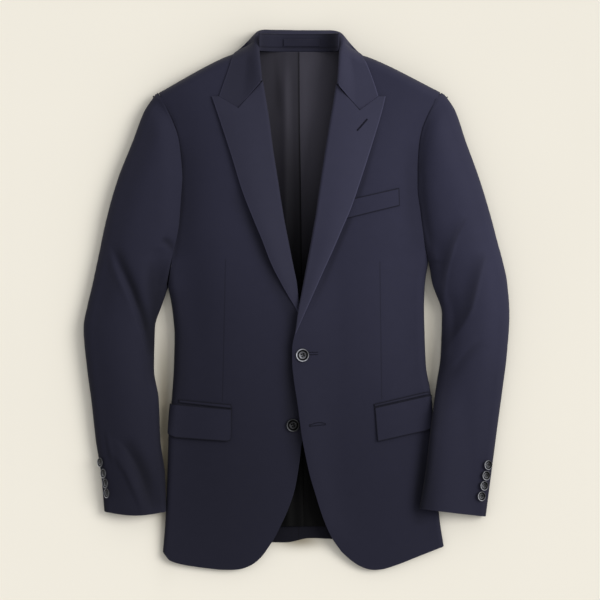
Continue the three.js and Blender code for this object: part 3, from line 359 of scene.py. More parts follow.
def curve(rows, along, column):
    """A smooth curve through the rows of a table, with no overshoot between them."""
    order = np.argsort(rows[along])
    at, value = rows[along][order], rows[column][order]
    step = np.diff(at)
    slopes = np.diff(value) / step
    before, after = slopes[:-1], slopes[1:]
    product = before * after
    total = np.where(product > 0, before + after, 1)
    middle = np.where(product > 0, 2 * product / total, 0)
    tangents = np.concatenate([[slopes[0]], middle, [slopes[-1]]])

    def f(t):
        t = np.asarray(t, float)
        inside = np.clip(t, at[0], at[-1])
        i = np.clip(np.searchsorted(at, inside, side="right") - 1, 0, len(step) - 1)
        h = step[i]
        s = (inside - at[i]) / h
        low = (1 + 2 * s) * (1 - s) ** 2 * value[i] + s * (1 - s) ** 2 * h * tangents[i]
        high = s * s * (3 - 2 * s) * value[i + 1] + s * s * (s - 1) * h * tangents[i + 1]
        beyond = np.where(t < at[0], (t - at[0]) * tangents[0], 0)
        beyond = beyond + np.where(t > at[-1], (t - at[-1]) * tangents[-1], 0)
        return low + high + beyond

    return f


def curves(rows, along):
    """A curve for every other column of a table."""
    return {name: curve(rows, along, name) for name in rows if name != along}


def path(corners, shares):
    """A straight-sided path through corners, each reached at its own share of the way."""
    corners = np.array(corners, float)
    return lambda t: np.stack([np.interp(t, shares, corners[:, k]) for k in (0, 1)], -1)


SAMPLES = 1499
GROWTH = 0.28  # of the spacing, away from a fine place


def spread(start, stop, spacing):
    """Stops from one place to another, with gaps of about spacing(place)."""
    samples = np.linspace(start, stop, SAMPLES + 1)
    middle = (samples[1:] + samples[:-1]) / 2
    weight = abs(stop - start) / SAMPLES / spacing(middle)
    total = np.concatenate([[0], np.cumsum(weight)])
    count = max(1, math.ceil(total[-1]))
    return np.interp(np.linspace(0, total[-1], count + 1), total, samples)


def fine_at(coarse, fine, *places):
    """A spacing that is fine near the places and coarse away from them."""
    return lambda t: np.minimum(
        coarse, np.min([fine + GROWTH * np.abs(t - place) for place in places], axis=0)
    )


def turn(reach, radius):
    """How cloth turns round an edge: reach is the distance in from it, less than 0 below it."""
    angle = np.clip(reach / radius, -1, 1) * math.pi / 2
    inset = radius * (1 - np.cos(angle)) + np.maximum(0, np.abs(reach) - radius)
    return inset, np.sin(angle)


def reach_across(distance, radius):
    """The reach that brings cloth a distance in from the edge it turns round."""
    near = np.clip(1 - distance / radius, 0, 1)
    return np.where(distance >= radius, distance, np.arccos(near) * 2 * radius / math.pi)


def stroke(points, x, y):
    """Distance from a path, more than 0 on its left, and the share of the way along it."""
    points = np.array(points, float)
    lengths = np.hypot(*np.diff(points, axis=0).T)
    whole = lengths.sum()
    best = np.full(x.shape, 1e9)
    side, share = np.zeros(x.shape), np.zeros(x.shape)
    done = 0.0
    for (ax, ay), (bx, by), long in zip(points[:-1], points[1:], lengths):
        t = np.clip(((x - ax) * (bx - ax) + (y - ay) * (by - ay)) / long**2, 0, 1)
        away = np.hypot(x - lerp(ax, bx, t), y - lerp(ay, by, t))
        left = np.sign((bx - ax) * (y - ay) - (by - ay) * (x - ax))
        nearer = away < best
        best = np.where(nearer, away, best)
        side = np.where(nearer, left, side)
        share = np.where(nearer, (done + t * long) / whole, share)
        done += long
    return best * side, share


def creases(rows, ease, x, y):
    """Each row's amount: most along its path, fading to both sides and at both ends."""
    for amount, right, left, points in rows:
        away, share = stroke(points, x, y)
        ends = np.sin(math.pi * np.clip(share, 0, 1)) ** ease
        yield amount * ends * bell(away, np.where(away < 0, right, left))


def painted_tone(name, x, y):
    """Painted shade of one piece's cloth: less than 1 where shade is painted, more than 1 where
    light is.
    """
    tone_with_painted_light = np.ones(x.shape)
    for depth in creases(PAINTED_SHADE.get(name, ()), 0.6, x, y):
        tone_with_painted_light *= 1 - PAINTED_SHADE_STRENGTH * depth
    return tone_with_painted_light


def folds(name, x, y):
    """The height that the folds of one piece add to its cloth."""
    return sum(creases(FOLDS.get(name, ()), 0.8, x, y), np.zeros(x.shape))


def line_marks(ends, x, y):
    """Distance to one side of a straight line, and distance past its ends."""
    (ax, ay), (bx, by) = ends
    long = math.hypot(bx - ax, by - ay)
    along = ((x - ax) * (bx - ax) + (y - ay) * (by - ay)) / long
    side = ((x - ax) * (by - ay) - (y - ay) * (bx - ax)) / long
    return side, np.maximum(0, np.maximum(-along, along - long))


# ---- The body's surface --------------------------------------------------------------------
body = curves(BODY, "y")
ridge = curve(RIDGE, "x", "y")


def front_height(x, y):
    """The height of the front's surface, lowest at the sides."""
    inside = np.maximum(0, np.minimum(x - body["right"](y), body["left"](y) - x))
    edge = 2 * body["rim"](y)
    rise = np.maximum(0, body["crown"](y) - edge)
    return edge + rise * (1 - bell(inside, SWELL))


def back_rise(x, y):
    """How far the back rises off the floor towards the neck."""
    return (CLOTH + LAY + 0.6) * fade(np.abs(x - 3), 150, 100) * fade(y, 290, 355)


def body_point(side, x, y, face):
    """A point on the front (1) or back (-1) of the body, turning round its side and shoulder."""
    sign, outline, rim = SIGN[side], body[side](y), body["rim"](y)
    inset, across = turn(sign * (outline - x), rim)
    px = outline - sign * inset
    up_inset, up = turn((ridge(px) - y) * RIDGE_SLOPE, rim)
    near = y >= ridge(px) - rim / RIDGE_SLOPE
    py = np.where(near, ridge(px) - up_inset / RIDGE_SLOPE, y)
    lift = face * across * up
    height = np.where(lift > 0, front_height(px, py) - rim, rim - back_rise(px, py))
    return joined(px, py, rim + height * lift)


def body_x(side, x, y):
    """The x to ask body_point for when its point has to come out at x."""
    sign = SIGN[side]
    return body[side](y) - sign * reach_across(sign * (body[side](y) - x), body["rim"](y))


def overlap(x, y):
    """What the left front rises by where it laps over the right one."""
    folded = 2.4 * bell(y + 18, 44)
    return (CLOTH + LAY + 0.5 + folded) * fade(x, 70, 20) * fade(y, 95, 0)


def raised(side, x, y):
    """How far a front lies above the body's surface: the left one lies on the right one."""
    if side == "right":
        return np.zeros(np.shape(x))
    from_edge = np.maximum(0, x - edge_x["left"](y))
    stands = STAND_OFF * bell(from_edge, 26) * fade(y, 20, -50) * fade(y, -395, -335)
    return overlap(x, y) + stands


# ---- The sleeves' surface ------------------------------------------------------------------
sleeve = {side: curves(SLEEVE[side], "y") for side in SIDES}
armhole_x = {side: curve(ARMHOLE[side], "y", "x") for side in SIDES}
edge_x = {side: curve(FRONT_EDGE[side], "y", "x") for side in SIDES}
hem_y = {side: curve(FRONT_HEM[side], "x", "y") for side in SIDES}
lapel_x = {side: curve(LAPEL_EDGE[side], "y", "x") for side in SIDES}
ARM_TOP = {side: ARMHOLE[side]["y"].max() for side in SIDES}
UNDERARM = {side: ARMHOLE[side]["y"].min() for side in SIDES}


def back_seam_x(side, y):
    """The armhole's seam at the back of the body."""
    share = np.clip((ARM_TOP[side] - y) / (ARM_TOP[side] - UNDERARM[side]), 0, 1)
    return armhole_x[side](y) + SIGN[side] * 5 * np.sin(math.pi * share) ** 2


def sleeve_base(side, x, y):
    """How high a sleeve lies: the left cuff lies on the body."""
    if side == "right":
        return np.zeros(np.shape(x))
    edge = body["left"](y)
    on_body = fade(y, -105, -185) * fade(x, edge + 58, edge - 14)
    return on_body * (front_height(edge - 12, y) + 2.2)


def sleeve_point(side, x, y, face):
    """A point on the upper (1) or under (-1) face of a sleeve, turning round both its sides."""
    sign, shape = SIGN[side], sleeve[side]
    outer, inner, rim = shape["outer"](y), shape["inner"](y), shape["rim"](y)
    outer_inset, outer_lift = turn(sign * (outer - x), rim)
    inner_inset, inner_lift = turn(sign * (x - inner), rim)
    near_outer = np.abs(x - outer) < np.abs(x - inner)
    px = np.where(near_outer, outer - sign * outer_inset, inner + sign * inner_inset)
    lift = face * outer_lift * inner_lift
    swell = (1 - bell(px - outer, SLEEVE_SWELL)) * (1 - bell(px - inner, SLEEVE_SWELL))
    crown = 2 * rim + (shape["crown"](y) - 2 * rim) * swell
    z = sleeve_base(side, px, y) + rim + np.where(lift > 0, crown - rim, rim) * lift
    return joined(px, y, z)


def sleeve_x(side, x, y):
    """The x to ask sleeve_point for when its point has to come out at x."""
    sign, edge = SIGN[side], sleeve[side]["inner"](y)
    return edge + sign * reach_across(sign * (x - edge), sleeve[side]["rim"](y))


def set_in(side, x, y, face):
    """The sleeve's surface, level with the body along the armhole."""
    point = sleeve_point(side, x, y, face)
    above = fade(y, UNDERARM[side] - 6, UNDERARM[side])
    beyond = SIGN[side] * (x - sleeve[side]["outer"](y)) > 0
    looks = np.where(beyond, -face, face)
    seam = np.where(looks > 0, armhole_x[side](y), back_seam_x(side, y))
    on_body = body_point(side, body_x(side, seam, y), y, looks)
    own = sleeve_point(side, sleeve_x(side, seam, y), y, looks)
    share = bell(point[..., 0] - seam, 20)
    z = point[..., 2] + (on_body[..., 2] - own[..., 2]) * share * above
    point[..., 2] = np.maximum(0, z)
    return point


# ---- Cloth from grids of points ------------------------------------------------------------
def normal_at(surface, x, y, face, step=0.4):
    along_x = surface(x + step, y) - surface(x - step, y)
    along_y = surface(x, y + step) - surface(x, y - step)
    normal = np.cross(along_x, along_y) * face
    return normal / np.linalg.norm(normal, axis=-1, keepdims=True)


def on_surface(places, surface, face, upper, lower, fold=None):
    """Outer and inner points of cloth on a surface, between two heights above it."""
    x, y = places[..., 0], places[..., 1]
    point = surface(x, y)
    normal = normal_at(surface, x, y, face)
    extra = 0.0
    if fold:
        extra = folds(fold, point[..., 0], point[..., 1]) * fade(normal[..., 2], -0.1, 0.5)
    heights = [h(x, y) if callable(h) else np.full(x.shape, float(h)) for h in (upper, lower)]
    return [point + normal * (h + extra)[..., None] for h in heights]


def border_distances(grid):
    """Distance of each point from the first row, last row, first column and last column."""
    distances = []
    for axis in (0, 1):
        first = np.zeros_like(grid[..., 0]).take([0], axis)
        gaps = np.linalg.norm(np.diff(grid, axis=axis), axis=-1)
        along = np.concatenate([first, gaps.cumsum(axis)], axis)
        distances += [along, along.take([-1], axis) - along]
    return distances


EDGE_DIP, EDGE_RADIUS = 0.44, 0.6  # of a free edge, as shares of the cloth's thickness


def quarter(t):
    """A quarter circle's drop, from 1 at the edge to 0 at its full radius."""
    return 1 - np.sqrt(1 - (1 - np.clip(t, 0, 1)) ** 2)


def finish_edges(outer, inner, kinds):
    """Rounds free edges and sinks sewn ones. kinds is for first and last row and column."""
    through = inner - outer
    thick = np.linalg.norm(through, axis=-1, keepdims=True)
    inward = through / np.maximum(thick, 1e-6)
    sewn, bare = (np.full(outer.shape[:2], FAR) for _ in range(2))
    down, up = (np.zeros(outer.shape[:2]) for _ in range(2))
    for kind, away in zip(kinds, border_distances(outer)):
        if kind == "free":
            dip = thick[..., 0] * EDGE_DIP * quarter(away / (thick[..., 0] * EDGE_RADIUS))
            down, up = np.maximum(down, dip), np.maximum(up, dip)
            bare = np.minimum(bare, away)
        elif kind:
            depth, reach = kind
            down = down + depth * quarter(away / reach)
            sewn = np.minimum(sewn, away)
    return outer + inward * down[..., None], inner - inward * up[..., None], sewn, bare


pieces, areas, spans = {}, {}, {}


def new_object(name, data):
    """An object in the scene, at the origin."""
    made = bpy.data.objects.new(name, data)
    bpy.context.scene.collection.objects.link(made)
    return made


def plain_mesh(name, points, quads, material, uv=None, **marks):
    """An object at the origin from points in millimetres and four-sided faces."""
    mesh = bpy.data.meshes.new(name)
    points = (points - ORIGIN) / 1000
    mesh.vertices.add(len(points))
    mesh.vertices.foreach_set("co", points.ravel())
    mesh.loops.add(quads.size)
    mesh.loops.foreach_set("vertex_index", quads.ravel())
    mesh.polygons.add(len(quads))
    mesh.polygons.foreach_set("loop_start", np.arange(0, quads.size, 4))
    mesh.polygons.foreach_set("use_smooth", np.ones(len(quads), bool))
    mesh.update(calc_edges=True)
    if uv is not None:
        layer = mesh.uv_layers.new(name="cloth")
        layer.data.foreach_set("uv", uv[quads.ravel()].ravel())
    for mark, values in marks.items():
        attribute = mesh.attributes.new(mark, "FLOAT", "POINT")
        attribute.data.foreach_set("value", values)
    mesh.materials.append(material)
    pieces[name] = new_object(name, mesh)


FREE, PLAIN = ("free",) * 4, (None,) * 4


def corners_of(grid):
    """The four corners of every square of a grid."""
    return grid[:-1, :-1], grid[:-1, 1:], grid[1:, 1:], grid[1:, :-1]


def doubled(values):
    """The same values for the outer and the inner points."""
    return np.concatenate([values.ravel()] * 2)


def cloth(name, outer, inner, material, kinds=FREE, places=None, line=(FAR, FAR), painted_shade_key=None):
    """A closed wall of cloth between two grids of points."""
    outer, inner, sewn, bare = finish_edges(outer, inner, kinds)
    rows, columns = outer.shape[:2]
    index = np.arange(rows * columns).reshape(rows, columns)
    back = index + rows * columns

    def band(a, b, flip):
        quad = np.stack([a[:-1], b[:-1], b[1:], a[1:]], -1).reshape(-1, 4)
        return quad[:, ::-1] if flip else quad

    face = np.stack(corners_of(index), -1).reshape(-1, 4)
    bands = ((0, False), (-1, True)), ((0, True), (-1, False))
    sides = [
        band(index.take(at, axis), back.take(at, axis), flip)
        for axis in (0, 1)
        for at, flip in bands[axis]
    ]
    quads = np.concatenate([face, face[:, ::-1] + rows * columns, *sides])
    points = np.concatenate([outer.reshape(-1, 3), inner.reshape(-1, 3)])
    a, b, c, d = (points[quads[:, k]] for k in range(4))
    volume = (a * np.cross(b, c)).sum() + (a * np.cross(c, d)).sum()
    if volume < 0:
        quads = quads[:, ::-1]
    if places is None:
        distances = border_distances(outer)
        places = joined(distances[2], -distances[0])
    uv = np.concatenate([places.reshape(-1, 2)] * 2) / 1000
    # Painted shade and painted light for this piece, kept as a mark on its points.
    tone_with_painted_light = painted_tone(painted_shade_key, outer[..., 0], outer[..., 1])
    values = np.broadcast_arrays(sewn, bare, *line, tone_with_painted_light)
    marks = dict(zip(("seam", "edge", "line_side", "line_end", "tone_with_painted_light"), map(doubled, values)))
    a, b, c, d = corners_of(outer)
    areas[name] = 0.5 * np.linalg.norm(np.cross(c - a, d - b), axis=-1).sum() / 1e6
    middles = outer[rows // 2], outer[:, columns // 2]
    spans[name] = [
        float(max(np.ptp(places[..., axis]), np.linalg.norm(np.diff(row, axis=0), axis=1).sum()))
        for axis, row in enumerate(middles)
    ]
    plain_mesh(name, points, quads, material, uv, **marks)


# ---- Materials -----------------------------------------------------------------------------
RANGE_SOCKETS = ("Value", "From Min", "From Max", "To Min", "To Max")


class Value:
    """A number in a node tree. Arithmetic on it adds Math nodes."""

    def __init__(self, graph, socket):
        self.graph, self.socket = graph, socket

    def __add__(self, other):
        return self.graph.math("ADD", self, other)

    def __sub__(self, other):
        return self.graph.math("SUBTRACT", self, other)

    def __mul__(self, other):
        return self.graph.math("MULTIPLY", self, other)

    def __truediv__(self, other):
        return self.graph.math("DIVIDE", self, other)


class Graph:
    """A node tree with short ways to add nodes and to join them."""

    def __init__(self, tree):
        self.tree = tree

    def add(self, kind, settings=None, **inputs):
        node = self.tree.nodes.new(kind)
        for key, value in (settings or {}).items():
            setattr(node, key, value)
        for key, value in inputs.items():
            self.join(value, node.inputs[key.replace("_", " ")])
        return node

    def join(self, value, socket):
        if isinstance(value, Value):
            value = value.socket
        if isinstance(value, bpy.types.NodeSocket):
            self.tree.links.new(value, socket)
        else:
            socket.default_value = value

    def math(self, operation, *values):
        node = self.add("ShaderNodeMath", {"operation": operation})
        for value, socket in zip(values, node.inputs):
            self.join(value, socket)
        return Value(self, node.outputs[0])

    def ramp(self, *values, kind="SMOOTHSTEP"):
        """Maps a value from low..high onto another low..high."""
        node = self.add("ShaderNodeMapRange", {"interpolation_type": kind})
        for title, value in zip(RANGE_SOCKETS, values):
            self.join(value, node.inputs[title])
        return Value(self, node.outputs["Result"])

    def noise(self, vector, scale, detail=2.0, roughness=0.5):
        look = dict(Vector=vector, Scale=scale, Detail=detail, Roughness=roughness)
        return Value(self, self.add("ShaderNodeTexNoise", None, **look).outputs["Fac"])

    def mark(self, name):
        """What a piece's mesh says at each point under a name."""
        return Value(self, self.add("ShaderNodeAttribute", {"attribute_name": name}).outputs["Fac"])

    def place(self):
        return self.add("ShaderNodeTexCoord").outputs["Object"]

    def split(self, vector):
        parts = self.add("ShaderNodeSeparateXYZ", None, Vector=vector).outputs
        return Value(self, parts["X"]), Value(self, parts["Y"])

    def scaled(self, color, amount):
        """A colour made lighter or darker by an amount."""
        node = self.add("ShaderNodeVectorMath", {"operation": "SCALE"}, Scale=amount)
        self.join(color, node.inputs[0])
        return node.outputs[0]


def group(name, inputs, outputs, kind="ShaderNodeTree"):
    """A node group with named sockets, as a graph, what comes in and where it goes out."""
    tree = bpy.data.node_groups.new(name, kind)
    for direction, sockets in (("INPUT", inputs), ("OUTPUT", outputs)):
        for title, type_name, default in sockets:
            socket = tree.interface.new_socket(
                title, in_out=direction, socket_type=f"NodeSocket{type_name}"
            )
            if default is not None:
                socket.default_value = default
    graph = Graph(tree)
    return graph, graph.add("NodeGroupInput").outputs, graph.add("NodeGroupOutput").inputs


TWILL_SLANT = 0.62
FIBRES, PATCHES = 1400.0, 60.0  # how fine the wool's fibres and its soft patches are
HALF_WIDTH, SIDE_LIGHT = 0.3, 1.16  # the jacket's half width in metres, and the painted light at its left side, towards the lamp
WEAVE_INPUTS = {
    "Rib Width": 0.0011, "Rib Depth": 0.5, "Mottling": 0.12, "Hem Shade": 0.7, "Seam Shade": 0.75,
    "Side Shade": 0.6, "Shade From": 0.20, "Shade To": -0.33, "Edge Light": 1.15,
}


def weave_group():
    """Fine twill with soft mottling, darker in seams and darts; painted shade towards the hem and
    on the right side, painted light on the left side, free edges painted lighter (darker where Edge
    Light is below 1), and each piece's painted shade.
    """
    numbers = [(title, "Float", value) for title, value in WEAVE_INPUTS.items()]
    graph, look, end = group(
        "Twill Cloth",
        [("Color", "Color", (0.03, 0.03, 0.05, 1)), *numbers],
        [("Color", "Color", None), ("Height", "Float", None)],
    )
    flat = graph.add("ShaderNodeUVMap", {"uv_map": "cloth"}).outputs[0]
    x, y = graph.split(flat)
    rib = graph.math("SINE", (x + y * TWILL_SLANT) / look["Rib Width"] * (2 * math.pi))
    fibre = graph.noise(flat, FIBRES, 2.0, 0.6)
    mottle = graph.noise(flat, PATCHES, 4.0, 0.62) * 0.6 + fibre - 0.8
    tone_with_painted_light = mottle * look["Mottling"] + 1.0 + rib * 0.03
    x, y = graph.split(graph.place())
    # Painted shade towards the hem, and painted shade on the right side with painted light on the
    # left, the lamp's side.
    tone_with_painted_light *= graph.ramp(y, look["Shade To"], look["Shade From"], look["Hem Shade"], 1.0)
    tone_with_painted_light *= graph.ramp(x, -HALF_WIDTH, HALF_WIDTH, look["Side Shade"], SIDE_LIGHT, kind="LINEAR")
    # Free edges: a painted highlight where Edge Light is over 1, painted shade where it is under.
    tone_with_painted_light *= graph.ramp(graph.mark("edge"), 0.6, 2.4, look["Edge Light"], 1.0)
    tone_with_painted_light *= graph.mark("tone_with_painted_light")
    line_side, line_end = graph.mark("line_side"), graph.mark("line_end")
    dart = graph.math("SQRT", line_side * line_side + line_end * line_end)
    tone_with_painted_light *= graph.ramp(graph.mark("seam"), 0.0, 1.6, look["Seam Shade"], 1.0)
    tone_with_painted_light *= graph.ramp(dart, 0.2, 1.6, look["Seam Shade"], 1.0)
    graph.join(graph.scaled(look["Color"], tone_with_painted_light), end["Color"])
    groove = graph.ramp(dart, 0.0, 1.8, -3.0, 0.0)
    graph.join(fibre * 1.4 + rib * look["Rib Depth"] + groove, end["Height"])
    return graph.tree


def shader(name, roughness, specular, sheen=0.0, coat=0.0):
    """A material with one Principled shader, as the material, its graph and the shader's inputs."""
    material = bpy.data.materials.new(name)
    material.use_nodes = True
    graph = Graph(material.node_tree)
    inputs = next(node for node in graph.tree.nodes if node.type == "BSDF_PRINCIPLED").inputs
    for key, value in (
        ("Roughness", roughness), ("Specular IOR Level", specular), ("Sheen Weight", sheen),
        ("Sheen Roughness", 0.45), ("Coat Weight", coat),
    ):
        inputs[key].default_value = value
    return material, graph, inputs


WEAVE = weave_group()
RELIEF = 0.0001


def cloth_material(name, color, roughness, specular, sheen, bump, **weave):
    """Woven cloth of one colour."""
    material, graph, inputs = shader(name, roughness, specular, sheen)
    woven = graph.add("ShaderNodeGroup", {"node_tree": WEAVE}, Color=(*color, 1), **weave).outputs
    graph.join(woven["Color"], inputs["Base Color"])
    relief = graph.add(
        "ShaderNodeBump", None, Height=woven["Height"], Distance=RELIEF, Strength=bump
    )
    graph.join(relief.outputs["Normal"], inputs["Normal"])
    return material


WOOL_LOOK = ((0.0227, 0.0228, 0.0434), 0.8, 0.12, 0.04, 0.5)
WOOL = cloth_material("wool", *WOOL_LOOK, Mottling=0.22, Hem_Shade=0.61, Side_Shade=0.68)
# The same wool with painted shade along its edges, for dark outlines round the pockets.
WOOL_POCKET = cloth_material(
    "wool_pocket", *WOOL_LOOK, Mottling=0.22, Hem_Shade=0.62, Side_Shade=0.68, Seam_Shade=0.42,
    Edge_Light=0.38,
)
# The same wool painted paler for the lapels, collar and stand: painted light, with painted
# highlights on free edges.
FACING = cloth_material(
    "facing", (0.0275, 0.0275, 0.0500), 0.78, 0.14, 0.04, 0.45, Mottling=0.2, Hem_Shade=0.82,
    Edge_Light=1.45,
)
# The back's wool, with strong painted shade towards the hem, where the fronts keep the light off
# it.
WOOL_BACK = cloth_material(
    "wool_back", (0.0225, 0.0220, 0.0465), 0.8, 0.12, 0.04, 0.5, Mottling=0.2, Hem_Shade=0.18
)
LINING_CLOTH = cloth_material(
    "lining", (0.0250, 0.0238, 0.0315), 0.62, 0.07, 0.0, 0.15, Mottling=0.1, Rib_Width=0.0006,
    Hem_Shade=0.02, Shade_From=0.36, Shade_To=-0.06, Side_Shade=1.0, Seam_Shade=0.3,
)
HORN_COLOR, THREAD_COLOR = (1.0, 1.02, 1.12), (0.012, 0.012, 0.020)


def horn_material():
    """Dark horn with soft clouds, made paler by painted highlights on its rims."""
    material, graph, inputs = shader("horn", 0.3, 0.07, coat=0.02)
    place = graph.place()
    cloud = graph.ramp(graph.noise(place, 260.0, 3.0), 0.35, 0.7, 0.7, 1.35)
    graph.join(graph.scaled(HORN_COLOR, graph.mark("polish") * cloud), inputs["Base Color"])
    graph.join(graph.ramp(graph.noise(place, 900.0), 0.3, 0.7, 0.22, 0.4), inputs["Roughness"])
    return material


def thread_material():
    """Twisted silk thread, darker than the cloth round it."""
    material, graph, inputs = shader("thread", 0.7, 0.06)
    twist = graph.ramp(graph.noise(graph.place(), 2600.0, 1.0), 0.3, 0.7, 0.75, 1.2)
    graph.join(graph.scaled(THREAD_COLOR, twist), inputs["Base Color"])
    return material


def floor_material():
    """A warm, pale, even surface, with painted shadow, duller and browner, where the jacket keeps
    the light off it.
    """
    material, graph, inputs = shader("ground", 0.9, 0.05)
    place = graph.place()
    x, y = graph.split(place)
    shade = 0.0
    for amount, middle_x, middle_y, half_x, half_y in PAINTED_FLOOR_SHADOW:
        across, along = (x - middle_x) / half_x, (y - middle_y) / half_y
        near = graph.math("EXPONENT", (across * across + along * along) * -1.0)
        shade = near * amount + shade
    pale = graph.scaled(FLOOR_COLOR, graph.ramp(graph.noise(place, 3.0), 0.3, 0.7, 0.995, 1.005))
    mixed = graph.add("ShaderNodeMix", {"data_type": "RGBA"}, Factor=shade)
    for value, socket in ((pale, 6), ((*SHADE_COLOR, 1), 7)):
        graph.join(value, mixed.inputs[socket])
    graph.join(mixed.outputs[2], inputs["Base Color"])
    return material


HORN = horn_material()
THREAD = thread_material()
FLOOR = floor_material()

# ---- Fronts --------------------------------------------------------------------------------
SEWN = (0.45, 2.2)  # how deep a sewn edge sinks, and from how far in
EDGE_STEP = 0.32  # spacing of the points at an edge


def patch(levels, outer_x, inner_at, top_at, bottom_at, shares):
    """Places between four edges, as rows from the side to the inner edge."""
    v = ((levels - levels[0]) / (levels[-1] - levels[0]))[:, None, None]
    u = shares[None, :, None]
    outer = joined(outer_x(levels), levels)[:, None]
    inner = inner_at(v[:, 0, 0])[:, None]
    top, bottom = top_at(shares)[None], bottom_at(shares)[None]
    ends = lerp(lerp(top[:, :1], top[:, -1:], u), lerp(bottom[:, :1], bottom[:, -1:], u), v)
    return lerp(outer, inner, u) + lerp(top, bottom, v) - ends


def shares_of(width, coarse, fine=EDGE_STEP):
    """Shares of the way across a piece of a given width, closer together at both ends."""
    return spread(0, width, fine_at(coarse, fine, 0, width)) / width


def front_places(side):
    sign, top_y, underarm = SIGN[side], ARM_TOP[side], UNDERARM[side]
    low_y = FRONT_HEM[side]["y"][0]
    levels = spread(top_y, low_y, fine_at(3.0, EDGE_STEP, top_y, low_y))

    def outer_x(y):
        at_armhole = body_x(side, armhole_x[side](y) - sign * SEAM / 2, y)
        below = body[side](y) + sign * (SIDE_REACH * fade(y, underarm, underarm - 30) - SEAM / 2)
        return np.where(y >= underarm, at_armhole, below)

    roll_end = GORGE[side]["end"][1]

    def inset(y):
        return (FOLD + 1) * fade(y, roll_end, roll_end + 50)

    neck_x = edge_x[side](386) + sign * inset(386)

    def top_at(u):
        x = lerp(outer_x(levels[0]), neck_x, u)
        return joined(x, lerp(levels[0], ridge(x) - 0.2, smooth(u * 150)) - 28 * fade(u, 0.86, 1))

    corner = FRONT_HEM[side]["x"][-1], FRONT_HEM[side]["y"][-1]
    neck_y = top_at(np.array([1.0]))[0, 1]

    def inner_at(v):
        y = lerp(neck_y, corner[1], v)
        return joined(edge_x[side](y) + sign * inset(y), y)

    def bottom_at(u):
        x = lerp(outer_x(levels[-1]), corner[0], u)
        return joined(x, np.where(u == 0, levels[-1], hem_y[side](x)))

    return patch(levels, outer_x, inner_at, top_at, bottom_at, shares_of(230, 2.6))


def body_surface(side, face):
    return partial(body_point, side, face=face)


def upon(side, places, upper, lower, fold=None):
    """Outer and inner points of cloth on one front, between two heights above it."""
    def lifted(height):
        return lambda x, y: raised(side, x, y) + (height(x, y) if callable(height) else height)

    return on_surface(places, body_surface(side, 1), 1, lifted(upper), lifted(lower), fold)


for side in SIDES:
    places = front_places(side)
    outer, inner = upon(side, places, 0, -CLOTH, f"front_{side}")
    kinds = (SEWN, "free", SEWN, "free")
    line = line_marks(DART[side], outer[..., 0], outer[..., 1])
    cloth(f"front_{side}_cloth", outer, inner, WOOL, kinds, places, line, f"front_{side}")

# ---- Side panels and back ------------------------------------------------------------------
side_back_x = curves(SIDE_BACK, "y")
SIDE_TOP = 65.1

for side in SIDES:
    sign, underarm = SIGN[side], UNDERARM[side]
    levels = spread(SIDE_TOP, BACK_HEM, fine_at(6.0, EDGE_STEP, SIDE_TOP, BACK_HEM))
    at_armhole = body_x(side, back_seam_x(side, levels) - sign * SEAM / 2, levels)
    reach = SIDE_REACH * fade(levels, underarm, underarm - 30) + SEAM / 2
    below = body[side](levels) - sign * reach
    seam_x = np.where(levels >= underarm, at_armhole, below)
    back_x = side_back_x[side](levels) + sign * SEAM / 2
    x = lerp(seam_x[:, None], back_x[:, None], shares_of(60, 2.5)[None])
    places = joined(x, levels[:, None])
    outer, inner = on_surface(places, body_surface(side, -1), -1, 0, -CLOTH)
    cloth(f"side_panel_{side}_cloth", outer, inner, WOOL, (SEWN, "free", SEWN, SEWN), places)


def hem_wave(x):
    """The back hem does not lie quite straight."""
    wave = lerp(-1.8, 4.8, fade(x, -16, 20)) - 1.6 * fade(x, 26, 56)
    return wave * fade(np.abs(x), 90, 50)


def back_places(side):
    sign, top_y = SIGN[side], ARM_TOP[side]
    levels = spread(top_y, BACK_HEM, fine_at(6.0, EDGE_STEP, top_y, BACK_HEM))

    def outer_x(y):
        at_armhole = body_x(side, back_seam_x(side, y) - sign * SEAM / 2, y)
        return np.where(y > SIDE_TOP, at_armhole, side_back_x[side](y) - sign * SEAM / 2)

    middle = CENTRE_BACK + sign * SEAM / 2
    neck_y = NECK_SEAM["y"] - 1
    shoulder = sign * 76 + CENTRE_BACK
    top = path(
        [
            (outer_x(top_y), top_y),
            (shoulder, ridge(shoulder) - 1),
            (sign * 60 + CENTRE_BACK, neck_y - 5),
            (middle, neck_y),
        ],
        [0, 0.7, 0.8, 1],
    )

    def top_at(u):
        place = top(u)
        on_ridge = (u > 0.02) & (u < 0.7)
        place[:, 1] = np.where(on_ridge, ridge(place[:, 0]) - 0.8, place[:, 1])
        return place

    def inner_at(v):
        return joined(middle, lerp(neck_y, BACK_HEM, v))

    def bottom_at(u):
        x = lerp(outer_x(BACK_HEM), middle, u)
        return joined(x, BACK_HEM + hem_wave(x))

    return patch(levels, outer_x, inner_at, top_at, bottom_at, shares_of(200, 6.0))


for side in SIDES:
    places = back_places(side)
    outer, inner = on_surface(places, body_surface(side, -1), -1, 0, -CLOTH)
    cloth(f"back_{side}_cloth", outer, inner, WOOL_BACK, (SEWN, "free", SEWN, SEWN), places)

# ---- Sleeves -------------------------------------------------------------------------------
CUFF_Y = -322
hindarm = curve(HINDARM, "y", "reach")


def cuff_drop(side, share, y):
    """The cuff's edge: curved on the right, slanted on the left."""
    low = fade(y, -240, -320)
    across = np.where(share < 0, -share, np.where(share > 1, 2 - share, share))
    return np.where(side == "right", -6 * np.sin(math.pi * across), lerp(-8, 5, across)) * low


